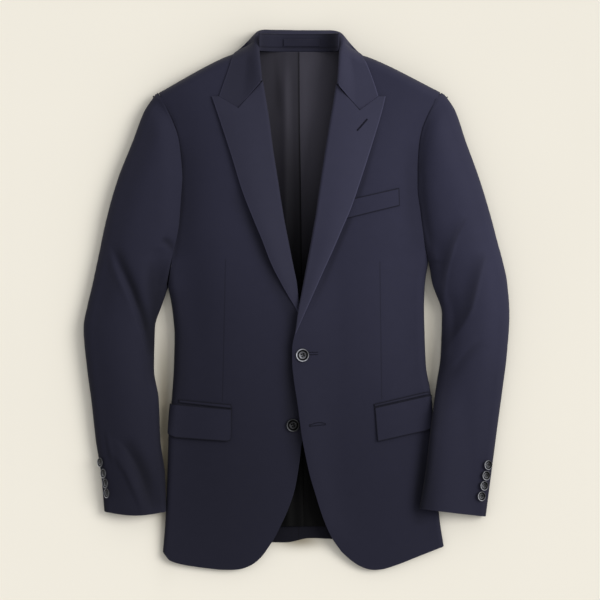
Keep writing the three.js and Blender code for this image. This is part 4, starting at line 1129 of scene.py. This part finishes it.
def sleeve_places(side, face):
    """Places of the upper (1) or under (-1) half of a sleeve, from the hindarm seam inwards."""
    sign, shape, underarm = SIGN[side], sleeve[side], UNDERARM[side]
    top_y = ARM_TOP[side] if face > 0 else HINDARM_START
    coarse = 2.8 if face > 0 else 5.0
    y = spread(top_y, CUFF_Y, fine_at(coarse, EDGE_STEP, top_y, CUFF_Y))[:, None]
    outer, inner = shape["outer"](y), shape["inner"](y)
    whole = SEAM - np.abs(outer - sleeve_x(side, back_seam_x(side, y), y))
    reach = np.where(y > HINDARM_START, whole, np.maximum(hindarm(y), whole))
    forearm = FOREARM_REACH * fade(y, underarm, underarm - 30)
    start = outer - face * sign * (reach + face * SEAM / 2)
    seam_x = armhole_x[side](y) if face > 0 else back_seam_x(side, y)
    stop = np.where(
        y >= underarm,
        sleeve_x(side, seam_x + sign * SEAM / 2, y),
        inner + face * sign * (forearm + face * SEAM / 2),
    )
    x = lerp(start, stop, shares_of(170, coarse * 0.9)[None])
    share = (x - outer) / (inner - outer)
    # The head slopes with the shoulder from the seam out.
    from_seam = np.clip(sign * (x - armhole_x[side](ARM_TOP[side])), 0, HEAD_WIDTH)
    head = (HEAD_SLOPE * from_seam - HEAD_RISE) * fade(y, ARM_TOP[side] - 22, ARM_TOP[side])
    low = y + cuff_drop(side, share, y) - head
    moved = lerp(shape["outer"](low) - outer, shape["inner"](low) - inner, np.clip(share, 0, 1))
    return joined(x + moved, low)


for side in SIDES:
    for half, face in (("top", 1), ("under", -1)):
        def head_roll(x, y):
            """The sleeve's cloth rolls a little over the armhole seam."""
            from_seam = np.abs(x - sleeve_x(side, armhole_x[side](y), y))
            roll = bell(from_seam - 2.2, 2.2) * fade(y, UNDERARM[side], UNDERARM[side] + 40)
            return 0.6 * roll * (face > 0)

        places = sleeve_places(side, face)
        surface = partial(set_in, side, face=face)
        outer, inner = on_surface(places, surface, face, head_roll, -CLOTH, f"sleeve_{side}")
        kinds = (None if face > 0 else SEWN, "free", SEWN, SEWN)
        name = f"sleeve_{half}_{side}_cloth"
        cloth(name, outer, inner, WOOL, kinds, places, painted_shade_key=f"sleeve_{side}")

# ---- Lapels --------------------------------------------------------------------------------
rise = curves(LAPEL_RISE, "y")


def lapel_point(side, x, y):
    """A lapel lies on its front, folded round that front's edge along the roll line."""
    sign = SIGN[side]
    roll = edge_x[side](y)
    low = GORGE[side]["end"][1]
    fold = lerp(END_FOLD, FOLD, fade(y, low, low + 110))
    inset, lift = turn(sign * (x - roll), fold)
    px = roll + sign * inset
    base = body_point(side, px, y, 1)
    normal = normal_at(body_surface(side, 1), px, y, 1)
    wide = np.maximum(4, sign * (lapel_x[side](np.minimum(y, GORGE[side]["peak"][1])) - roll))
    out = np.clip(sign * (x - roll) / wide, 0, 1)
    stand = rise["edge"](y) * smooth(out) + rise["full"](y) * np.sin(math.pi * out)
    return base + normal * (raised(side, px, y) + fold * lift - CLOTH / 2 + stand)[..., None]


NOTCH_AT, TIP_AT = 0.52, 0.88  # shares of the way along a lapel's upper edge


def gorge_at(side):
    """The collar's edge along the gorge, up to its own tip."""
    gorge = GORGE[side]
    edge = path([gorge["top"], gorge["notch"], gorge["tip"]], [0, NOTCH_AT, 1])
    return lambda u: edge(u) + (0, SEAM * 1.3)


def lapel_places(side):
    sign, gorge = SIGN[side], GORGE[side]
    top, peak, end = gorge["top"], gorge["peak"], gorge["end"]
    edge = path([top, gorge["notch"], gorge["tip"], peak], [0, NOTCH_AT, TIP_AT, 1])
    first = spread(peak[1], end[1], fine_at(2.0, EDGE_STEP, peak[1], end[1]))
    v = ((first - first[0]) / (first[-1] - first[0]))[:, None]
    roll_y = lerp(top[1] - SEAM / 2, end[1] - 1, v)
    roll = edge_x[side](roll_y)
    wide = np.maximum(0.5, sign * (lapel_x[side](first[:, None]) - roll))
    u = np.concatenate(
        [
            np.linspace(0, NOTCH_AT, 28)[:-1],
            np.linspace(NOTCH_AT, TIP_AT, 20)[:-1],
            spread(TIP_AT, 1, fine_at(0.018, 0.0032, 1)),
        ]
    )
    place = edge(u)
    place[:, 1] -= np.where(u < 0.95, SEAM / 2, 0)
    straight = joined(lerp(top[0], peak[0], u), lerp(top[1] - SEAM / 2, peak[1], u))
    bend = (place - straight)[None] * ((1 - v) ** 2)[..., None]
    x = roll + sign * wide * u + bend[..., 0]
    y = lerp(roll_y, first[:, None], u) + bend[..., 1]
    wrap = np.minimum(7, wide * 0.3) * np.linspace(1, 0, 8)[:-1]
    return np.concatenate([joined(roll - sign * wrap, roll_y), joined(x, y)], 1)


for side in SIDES:
    surface = partial(lapel_point, side)
    places = lapel_places(side)
    outer = surface(places[..., 0], places[..., 1])
    inner = outer - normal_at(surface, places[..., 0], places[..., 1], 1) * CLOTH
    kinds = ((0.5, 1.6), "free", "free", "free")
    cloth(f"lapel_{side}_cloth", outer, inner, FACING, kinds, places, painted_shade_key=f"lapel_{side}")

# ---- Collar --------------------------------------------------------------------------------
def over_shoulder(x, y):
    """The lowest height for cloth lying on the front near the shoulder line."""
    clear = LAY + CLOTH
    rim = body["rim"](y)
    radius = rim + clear
    distance = np.clip((ridge(x) - y) * RIDGE_SLOPE + clear, 0, radius)
    return rim + (front_height(x, y) + clear - rim) * np.sqrt(1 - (1 - distance / radius) ** 2)


def collar_grids():
    """Outer and inner points of the collar, from one gorge round the neck to the other."""
    last = len(COLLAR["height"]) - 1
    rows = {"at": np.arange(last + 1.0), **COLLAR}
    s = spread(0, last, lambda t: 0.055 + 0 * t)
    along_s = {name: value(s)[:, None] for name, value in curves(rows, "at").items()}
    sign = np.where(s < last / 2, -1, 1)[:, None]
    faces, radius, height = along_s["faces"], along_s["radius"], along_s["height"]
    fold = np.stack([along_s["fold_x"], along_s["fold_y"], height], -1)
    edge = np.stack([along_s["edge_x"], along_s["edge_y"], height], -1)
    along = (edge - fold) / np.linalg.norm(edge - fold, axis=-1, keepdims=True)
    across = np.stack([along[..., 1], -along[..., 0], 0 * height], -1) * -sign[..., None]
    up = across * np.sqrt(np.maximum(0, 1 - faces**2))[..., None]
    up[..., 2] += faces
    centre = fold + along * radius[..., None]
    start = centre + up * radius[..., None]
    shares = 1 - spread(0, 1, fine_at(0.034, 0.006, 0))[:-1]
    fall = lerp(start, edge, shares[None, :, None])
    for side, near in (("right", 1 - s), ("left", s - last + 1)):
        pull = smooth(near)[:, None, None]
        fall[..., :2] = lerp(fall[..., :2], gorge_at(side)(shares)[None], pull)
    floor_z = np.maximum(0, start[..., 2] * (1 - shares) ** 2)
    behind = lerp(fall[..., 2], floor_z, smooth(shares * 3))
    front = over_shoulder(fall[..., 0], fall[..., 1])
    front = lerp(start[..., 2], front, fade(shares, 0, 0.45))
    fall[..., 2] = lerp(behind, front, fade(faces, -0.4, 0.3))
    angle = np.linspace(-1, 1, 18)[None, :, None]
    angle = np.minimum(angle, lerp(0.89, 1, fade(faces, 0, 0.5))[..., None]) * math.pi / 2
    ray = -along * np.cos(angle) - up * np.sin(angle)
    wrap = (COLLAR_WRAP * fade(faces, 0.8, 1) + 0.4)[..., None]
    outer_turn = centre + ray * radius[..., None]
    inner_turn = centre + ray * (radius - CLOTH)[..., None]
    tails = [grid[:, -1:] + along * wrap for grid in (outer_turn, inner_turn)]
    outer = np.concatenate([fall, outer_turn, tails[0]], 1)
    inner = np.concatenate([fall - up * CLOTH, inner_turn, tails[1]], 1)
    return outer, inner


outer, inner = collar_grids()
cloth("collar_cloth", outer, inner, FACING, painted_shade_key="collar")


def stand_point(x, y):
    """The stand inside the back of the neck, its ends rising to the fold."""
    up = (y - STAND["low"]) / (STAND["high"] - STAND["low"])
    end = np.abs(x - NECK_SEAM["middle"]) / NECK_SEAM["half"]
    z = lerp(STAND["low_z"], STAND["high_z"], up) + STAND["ends"] * end**4
    return joined(x, y, z)


def rectangle(x0, x1, y0, y1, step):
    """Places over a rectangle, from its upper edge down."""
    x = spread(x0, x1, fine_at(step, EDGE_STEP, x0, x1))[None]
    y = spread(y1, y0, fine_at(step, EDGE_STEP, y0, y1))[:, None]
    return joined(x, y)


STAND_ENDS, STAND_MARGIN = 8, 2  # how far it runs on under the fold and behind its stitching
places = rectangle(
    STAND["start"] - STAND_ENDS, STAND["stop"] + STAND_ENDS,
    STAND["low"] - STAND_MARGIN, STAND["high"] + STAND_MARGIN, 1.2,
)
outer, inner = on_surface(places, stand_point, 1, 0, -CLOTH)
groove = np.min([np.abs(places[..., 1] - y) for y in STAND_STITCHING], axis=0)
outer[..., 2] -= GROOVE_DEPTH * bell(groove, GROOVE_WIDTH)
line = (groove * 0.7, 0.0)
cloth("collar_stand_cloth", outer, inner, FACING, PLAIN, places, line, painted_shade_key="collar_stand")
places = rectangle(LOOP["from_x"], LOOP["to_x"], LOOP["from_y"], LOOP["to_y"], 1.2)
outer, inner = on_surface(places, stand_point, 1, 1.5, 0.35)
cloth("hanger_loop_cloth", outer, inner, FACING, PLAIN, places, painted_shade_key="collar_stand")

# ---- Lining --------------------------------------------------------------------------------
PLEAT_EDGE = table("y x", (378, 5), (300, 5.5), (122, 8), (-345, 12))
pleat_edge = curve(PLEAT_EDGE, "y", "x")


def lining_folds(x, y):
    """Soft upright folds."""
    soft = 1.5 * np.cos((x + 0.03 * y) / 8.5) + 0.9 * np.cos((x - 0.02 * y) / 14 + 1.3)
    return soft * fade(y, 374, 314) * fade(x, -6, -20)


for side in SIDES:
    sign = SIGN[side]
    v = spread(0, 720, fine_at(6.0, EDGE_STEP, 0, 720))[:, None] / 720
    reach = spread(0, 1, fine_at(0.018, 0.002, 0, 1))[None]
    outward_x = sign * LINING_BACK["side"]
    rough_y = lerp(LINING_BACK["top"], LINING_BACK["hem"], v)
    centre_x = pleat_edge(rough_y) if side == "right" else -8 + 0 * rough_y
    x = lerp(centre_x, outward_x, reach)
    outward = fade(np.abs(x - CENTRE_BACK), 62, 76)
    top = lerp(LINING_BACK["top"], ridge(x) - 50, outward)
    y = lerp(top, LINING_BACK["hem"], v)
    places = joined(x, y)

    def lower(x, y):
        beside = fade(x, -26, -12) if side == "right" else 0
        full = 0.9 * bell(np.abs(x - pleat_edge(y)) - 5, 5) * fade(y, 372, 332)
        loose = np.maximum(0, 2.4 + lining_folds(x, y)) * fade(y, 374, 314) * fade(x, -2, -16)
        return -LINING_GAP - (LINING + LAY) * beside - full - loose

    surface = body_surface(side, -1)
    outer, inner = on_surface(places, surface, -1, lower, lambda x, y: lower(x, y) - LINING)
    # A dark line painted along the pleat's edge: painted shade of the fold.
    line = ((pleat_edge(y) - x) * 0.5 if side == "right" else FAR, 0.0)
    name = f"lining_back_{side}_cloth"
    cloth(name, outer, inner, LINING_CLOTH, FREE, places, line, f"lining_{side}")

# ---- Pockets -------------------------------------------------------------------------------
def laid_on(lines, corners=(0, 0), spacing=1.6):
    """Places between an upper and a lower line, with rounded lower corners."""
    upper, lower = np.array(lines, float)
    width = np.hypot(*(lower[1] - lower[0]))
    depth = np.hypot(*(lower[0] - upper[0]))
    u = shares_of(width, spacing)[None]
    v = shares_of(depth, spacing)[:, None]
    cut = np.zeros(u.shape)
    for corner, from_end in zip(corners, (u * width, (1 - u) * width)):
        cut += corner - np.sqrt(np.maximum(0, corner**2 - np.maximum(0, corner - from_end) ** 2))
    top = lerp(upper[0], upper[1], u[..., None])
    low = lerp(lower[0], lower[1], u[..., None]) + joined(0, cut)
    return lerp(top, low, v[..., None]), np.broadcast_arrays(u, v)


for side in SIDES:
    places, (u, v) = laid_on(FLAP[side], FLAP_CORNER[side])
    hang = LAY + 2.2 * v**2 + 0.8 * np.sin(math.pi * v) * np.sin(math.pi * u)
    outer, inner = upon(side, places, lambda x, y: hang + CLOTH, lambda x, y: hang)
    cloth(f"pocket_flap_{side}_cloth", outer, inner, WOOL_POCKET)
    places, _ = laid_on(JET[side], spacing=1.2)
    outer, inner = upon(side, places, LAY + 1.4, LAY)
    cloth(f"pocket_jet_{side}_cloth", outer, inner, WOOL_POCKET)
places, _ = laid_on(WELT)
outer, inner = upon("left", places, LAY + 1.6, LAY)
cloth("chest_welt_cloth", outer, inner, WOOL_POCKET)

# ---- Buttons -------------------------------------------------------------------------------
# How bright the light painted on a button is, and how narrow the painted highlight on its rim.
BUTTON_PAINTED_LIGHT = {
    "button_top": (1.7, 1), "button_bottom": (0.42, 5), "right": (1.7, 1.5), "left": (0.95, 1),
}
LIGHT_AT, BUTTON_TURN = 3.7, 0.35  # radians: where the highlight painted on a rim is brightest, and how the holes are turned
HOLE_AT, HOLE_RADIUS, HOLE_DEPTH = 0.23, 0.07, 0.75  # shares of a button's radius and thickness
BUTTON_THICK = 0.17  # share of its diameter
BUTTON_LIFT = 0.7  # off the cloth, on its thread
BUTTON_SIDES = 64

# A button's section from the middle of its back round to the middle of its face: how far out, how
# high, and how pale it is painted there, with painted highlights on the rim and middle and painted
# shade in the hollow ring. The flat middle starts at the row FACE_ROW.
FACE_ROW = 15
BUTTON = np.array(
    [
        (0, 0, 0.01), (0.5, 0, 0.01), (0.78, 0, 0.01), (0.92, 0.18, 0.01), (1, 0.45, 0.02),
        (1.0, 0.62, 0.04), (0.985, 0.8, 0.12), (0.95, 0.93, 0.3), (0.9, 1, 0.36),
        (0.84, 0.99, 0.2), (0.79, 0.88, 0.03), (0.74, 0.62, 0.004), (0.7, 0.46, 0.002),
        (0.66, 0.4, 0.002), (0.62, 0.44, 0.004), (0.57, 0.62, 0.05), (0.52, 0.76, 0.17),
        (0.46, 0.82, 0.16), (0.42, 0.82, 0.11),
        *((radius, 0.82, 0.08) for radius in np.arange(0.38, 0.01, -0.04)),
    ]
)


def button(name, diameter, point, normal, light_strength, narrow):
    """A round button with a raised rim, a hollow ring, a flat middle and four holes."""
    r, thick = diameter / 2, diameter * BUTTON_THICK
    angle = np.arange(BUTTON_SIDES) * 2 * math.pi / BUTTON_SIDES
    out, high, pale = BUTTON.T[..., None]
    x, y = out * r * np.cos(angle), out * r * np.sin(angle)
    z = high * thick + 0 * x
    # Painted highlight on the rim, brightest on the side towards the lamp.
    toward_light = (0.5 + 0.5 * np.cos(angle - LIGHT_AT)) ** narrow
    polish = light_strength * pale * lerp(0.16, 1, toward_light)
    on_face = np.arange(len(BUTTON))[:, None] >= FACE_ROW
    for k in range(4):
        hole = BUTTON_TURN + (k + 0.5) * math.pi / 2
        away = np.hypot(x - HOLE_AT * r * math.cos(hole), y - HOLE_AT * r * math.sin(hole))
        inside = np.where(on_face, fade(away / r, HOLE_RADIUS + 0.05, HOLE_RADIUS), 0)
        z -= HOLE_DEPTH * thick * inside
        # Painted shade in the holes.
        polish *= 1 - 0.95 * inside
    side = np.cross((0, 1, 0), normal)
    side = side / np.linalg.norm(side)
    ahead = np.cross(normal, side)
    z += BUTTON_LIFT
    points = point + x[..., None] * side + y[..., None] * ahead + z[..., None] * normal
    index = np.arange(x.size).reshape(x.shape)
    beside = np.roll(index, -1, axis=1)
    quads = np.stack([index[:-1], beside[:-1], beside[1:], index[1:]], -1).reshape(-1, 4)
    plain_mesh(name, points.reshape(-1, 3), quads, HORN, polish=polish.ravel())


def button_seat(surface, x, y, up):
    x, y = np.array([float(x)]), np.array([float(y)])
    normal = normal_at(surface, x, y, 1)[0]
    return surface(x, y)[0] + normal * up, normal


seats = {}
for name, side, x, y in FRONT_BUTTONS:
    up = float(raised(side, np.array(x), np.array(y)))
    seats[name] = (side, *button_seat(body_surface(side, 1), x, y, up), FRONT_BUTTON_SIZE)
for side in SIDES:
    sign, tilt = SIGN[side], math.radians(CUFF_TILT[side])
    normal = np.array([sign * math.sin(tilt), 0, math.cos(tilt)])
    for i, (x, y) in enumerate(CUFF_BUTTONS[side], 1):
        edge = sleeve[side]["outer"](y)
        at = edge - sign * reach_across(sign * (edge - x), sleeve[side]["rim"](y))
        point, _ = button_seat(partial(set_in, side, face=1), float(at), y, 0.4)
        seats[f"cuff_button_{side}_{i}"] = (side, point, normal, CUFF_BUTTON_SIZE)
for name, (side, point, normal, diameter) in seats.items():
    button(f"{name}_horn", diameter, point, normal, *BUTTON_PAINTED_LIGHT.get(name, BUTTON_PAINTED_LIGHT[side]))

# ---- Buttonholes ---------------------------------------------------------------------------
def stitch_group():
    """Geometry Nodes: short stitches laid across a path, one after another."""
    graph, start, end = group(
        "Stitches Across A Path",
        [
            ("Path", "Geometry", None), ("Spacing", "Float", 0.0006), ("Length", "Float", 0.0017),
            ("Thickness", "Float", 0.00055), ("Material", "Material", None),
        ],
        [("Stitches", "Geometry", None)],
        "GeometryNodeTree",
    )

    def node(kind, settings=None, **inputs):
        return graph.add(kind, settings, **inputs).outputs

    path_curve = node("GeometryNodeMeshToCurve", Mesh=start["Path"])
    level = node("GeometryNodeSetCurveNormal", {"mode": "Z_UP"}, Curve=path_curve["Curve"])
    by_length = {"mode": "LENGTH"}
    points = node(
        "GeometryNodeCurveToPoints", by_length, Curve=level["Curve"], Length=start["Spacing"]
    )
    bead = node("GeometryNodeMeshUVSphere", Segments=8, Rings=5, Radius=0.5)
    thick = start["Thickness"]
    size = node("ShaderNodeCombineXYZ", X=start["Length"], Y=thick, Z=thick)
    across = node("FunctionNodeAlignRotationToVector", {"axis": "X"}, Vector=points["Normal"])
    stitches = node(
        "GeometryNodeInstanceOnPoints", Points=points["Points"], Instance=bead["Mesh"],
        Rotation=across["Rotation"], Scale=size["Vector"],
    )
    real = node("GeometryNodeRealizeInstances", Geometry=stitches["Instances"])
    soft = node("GeometryNodeSetShadeSmooth", Geometry=real["Geometry"])
    paint = node("GeometryNodeSetMaterial", Geometry=soft["Geometry"], Material=start["Material"])
    graph.join(paint["Geometry"], end["Stitches"])
    return graph.tree


STITCHES = stitch_group()


def stitched(name, lines, surface, up, **sizes):
    """Stitches across paths that lie on a surface, as one plain mesh."""
    points, edges = [], []
    for line in lines:
        first = len(points)
        where = surface(line[:, 0], line[:, 1])
        heights = where[..., 2] + up
        points += [tuple((np.array([x, y, z]) - ORIGIN) / 1000) for (x, y), z in zip(line, heights)]
        edges += [(k, k + 1) for k in range(first, len(points) - 1)]
    mesh = bpy.data.meshes.new(f"{name}_path")
    mesh.from_pydata(points, edges, [])
    guide = new_object(f"{name}_path", mesh)
    modifier = guide.modifiers.new("Stitches", "NODES")
    modifier.node_group = STITCHES
    values = {"Material": THREAD, **sizes}
    for item in STITCHES.interface.items_tree:
        if item.in_out == "INPUT" and item.name in values:
            modifier[item.identifier] = values[item.name]
    evaluated = guide.evaluated_get(bpy.context.evaluated_depsgraph_get())
    plain = bpy.data.meshes.new_from_object(evaluated)
    guide.modifiers.remove(modifier)
    bpy.data.objects.remove(guide)
    plain.name = name
    pieces[name] = new_object(name, plain)


def on_left(x, y):
    """The outside of the left front."""
    point = body_point("left", x, y, 1)
    point[..., 2] += raised("left", x, y)
    return point


def slit(start, end, half, eye=0.0, bow=0.0):
    """A buttonhole's path: along one side to its eye, round the eye, and back along the other side.
    """
    start, end = np.array(start, float), np.array(end, float)
    ahead = (end - start) / np.hypot(*(end - start))
    beside = np.array([-ahead[1], ahead[0]])
    share = np.linspace(0, 1, 24)
    side = half + bow * np.sin(math.pi * share)
    upper = start + np.outer(share, end - start) + np.outer(side, beside)
    lower = start + np.outer(share, end - start) - half * beside
    turn_at = np.linspace(math.pi / 2, 1.5 * math.pi, 12)
    circle = np.outer(np.cos(turn_at), ahead) + np.outer(np.sin(turn_at), beside)
    return np.concatenate([upper[::-1], max(eye, half) * circle + start, lower])


LAPEL_HOLE = slit((93, 257), (108, 274), 0.6)
TOP_HOLE = slit((14, -81), (33.5, -81), 1.8)
LOW_HOLE = slit((22, -190.6), (45, -188.4), 0.8, 1.9, 2.6)
LOW_EYE = slit((21.6, -190.8), (22.6, -190.7), 0.7)
ON_LAPEL = partial(lapel_point, "left")
stitched("lapel_buttonhole_thread", [LAPEL_HOLE], ON_LAPEL, 0.15, Length=0.0018)
for name, lines, length in (("top", [TOP_HOLE], 0.0016), ("low", [LOW_HOLE, LOW_EYE], 0.0017)):
    name = f"{name}_buttonhole_thread"
    stitched(name, lines, on_left, 0.1, Length=length, Thickness=0.0006)

# ---- Camera, light and floor ---------------------------------------------------------------
# A long lens, far away, looks straight down.
LENS, SENSOR, VIEW_WIDTH = 300, 36, 0.912
CHEST_HEIGHT = 0.025
camera_data = bpy.data.cameras.new("camera")
camera_data.lens = LENS
camera_data.sensor_width = SENSOR
camera_data.clip_end = 100
camera = new_object("camera", camera_data)
camera.location = (0.00524, -0.00022, CHEST_HEIGHT + VIEW_WIDTH * LENS / SENSOR)
scene = bpy.context.scene
scene.camera = camera
scene.view_settings.view_transform = "Standard"

SUN_STRENGTH, SUN_SIZE, SUN_AZIMUTH, SUN_ELEVATION = 1.85, 32, 18, 43
sun_data = bpy.data.lights.new("sun", "SUN")
sun_data.energy = SUN_STRENGTH
sun_data.angle = math.radians(SUN_SIZE)
sun_data.color = (1, 0.99, 0.97)
sun = new_object("sun", sun_data)
sun.rotation_euler = (0, math.radians(90 - SUN_ELEVATION), math.radians(SUN_AZIMUTH))

# The sky is brighter on the side of the light.
SKY_LOW, SKY_HIGH = 0.52, 0.86
BRIGHT_SIDE = (0.75, 0.55, 0.36)
world = bpy.data.worlds.new("sky")
world.use_nodes = True
background = next(node for node in world.node_tree.nodes if node.type == "BACKGROUND")
sky = Graph(world.node_tree)
toward = sky.add("ShaderNodeTexCoord").outputs["Generated"]
facing_light = sky.add("ShaderNodeVectorMath", {"operation": "DOT_PRODUCT"})
for value, socket in zip((toward, BRIGHT_SIDE), facing_light.inputs):
    sky.join(value, socket)
background.inputs["Color"].default_value = (1, 1, 1, 1)
brightness = sky.ramp(facing_light.outputs["Value"], -0.5, 1.0, SKY_LOW, SKY_HIGH)
sky.join(brightness, background.inputs["Strength"])
scene.world = world

FLOOR_HALF, FLOOR_DROP = 3, 0.0004
floor_mesh = bpy.data.meshes.new("floor")
corners = [(x * FLOOR_HALF, y * FLOOR_HALF, 0) for x, y in ((-1, -1), (1, -1), (1, 1), (-1, 1))]
floor_mesh.from_pydata(corners, [], [(0, 1, 2, 3)])
floor_mesh.materials.append(FLOOR)
floor = new_object("floor", floor_mesh)
floor.location.z = -FLOOR_DROP

# ---- What each piece is --------------------------------------------------------------------
RESTS_ON = {
    "front": "lining_back_{side}", "lapel": "front_{side}", "sleeve_top": "sleeve_under_{side}",
    "pocket_flap": "front_{side}", "pocket_jet": "front_{side}", "chest_welt": "front_left",
    "collar": "front_left", "collar_stand": "back_left", "hanger_loop": "collar_stand",
}
SMALLEST_FLAT = 10.1


def solids_of(kind):
    """The solids that a piece stands for: the one of its name, or all parts of its half."""
    half, _, side = kind.rpartition("_")
    return [
        node
        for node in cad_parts
        if node == kind or (half and node.startswith(f"{half}_") and node.endswith(f"_{side}"))
    ]


for name, piece in pieces.items():
    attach(piece, "root")
    kind, _, _ = name.rpartition("_")
    parts = solids_of(kind)
    if parts:
        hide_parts(*parts)
    if name in areas:
        side = "left" if "left" in name else "right"
        under = RESTS_ON.get(kind.replace(f"_{side}", ""), "floor").format(side=side)
        width, length = (max(SMALLEST_FLAT, span) / 1000 for span in spans[name])
        rests = [floor] if under == "floor" else [f"{under}_cloth"]
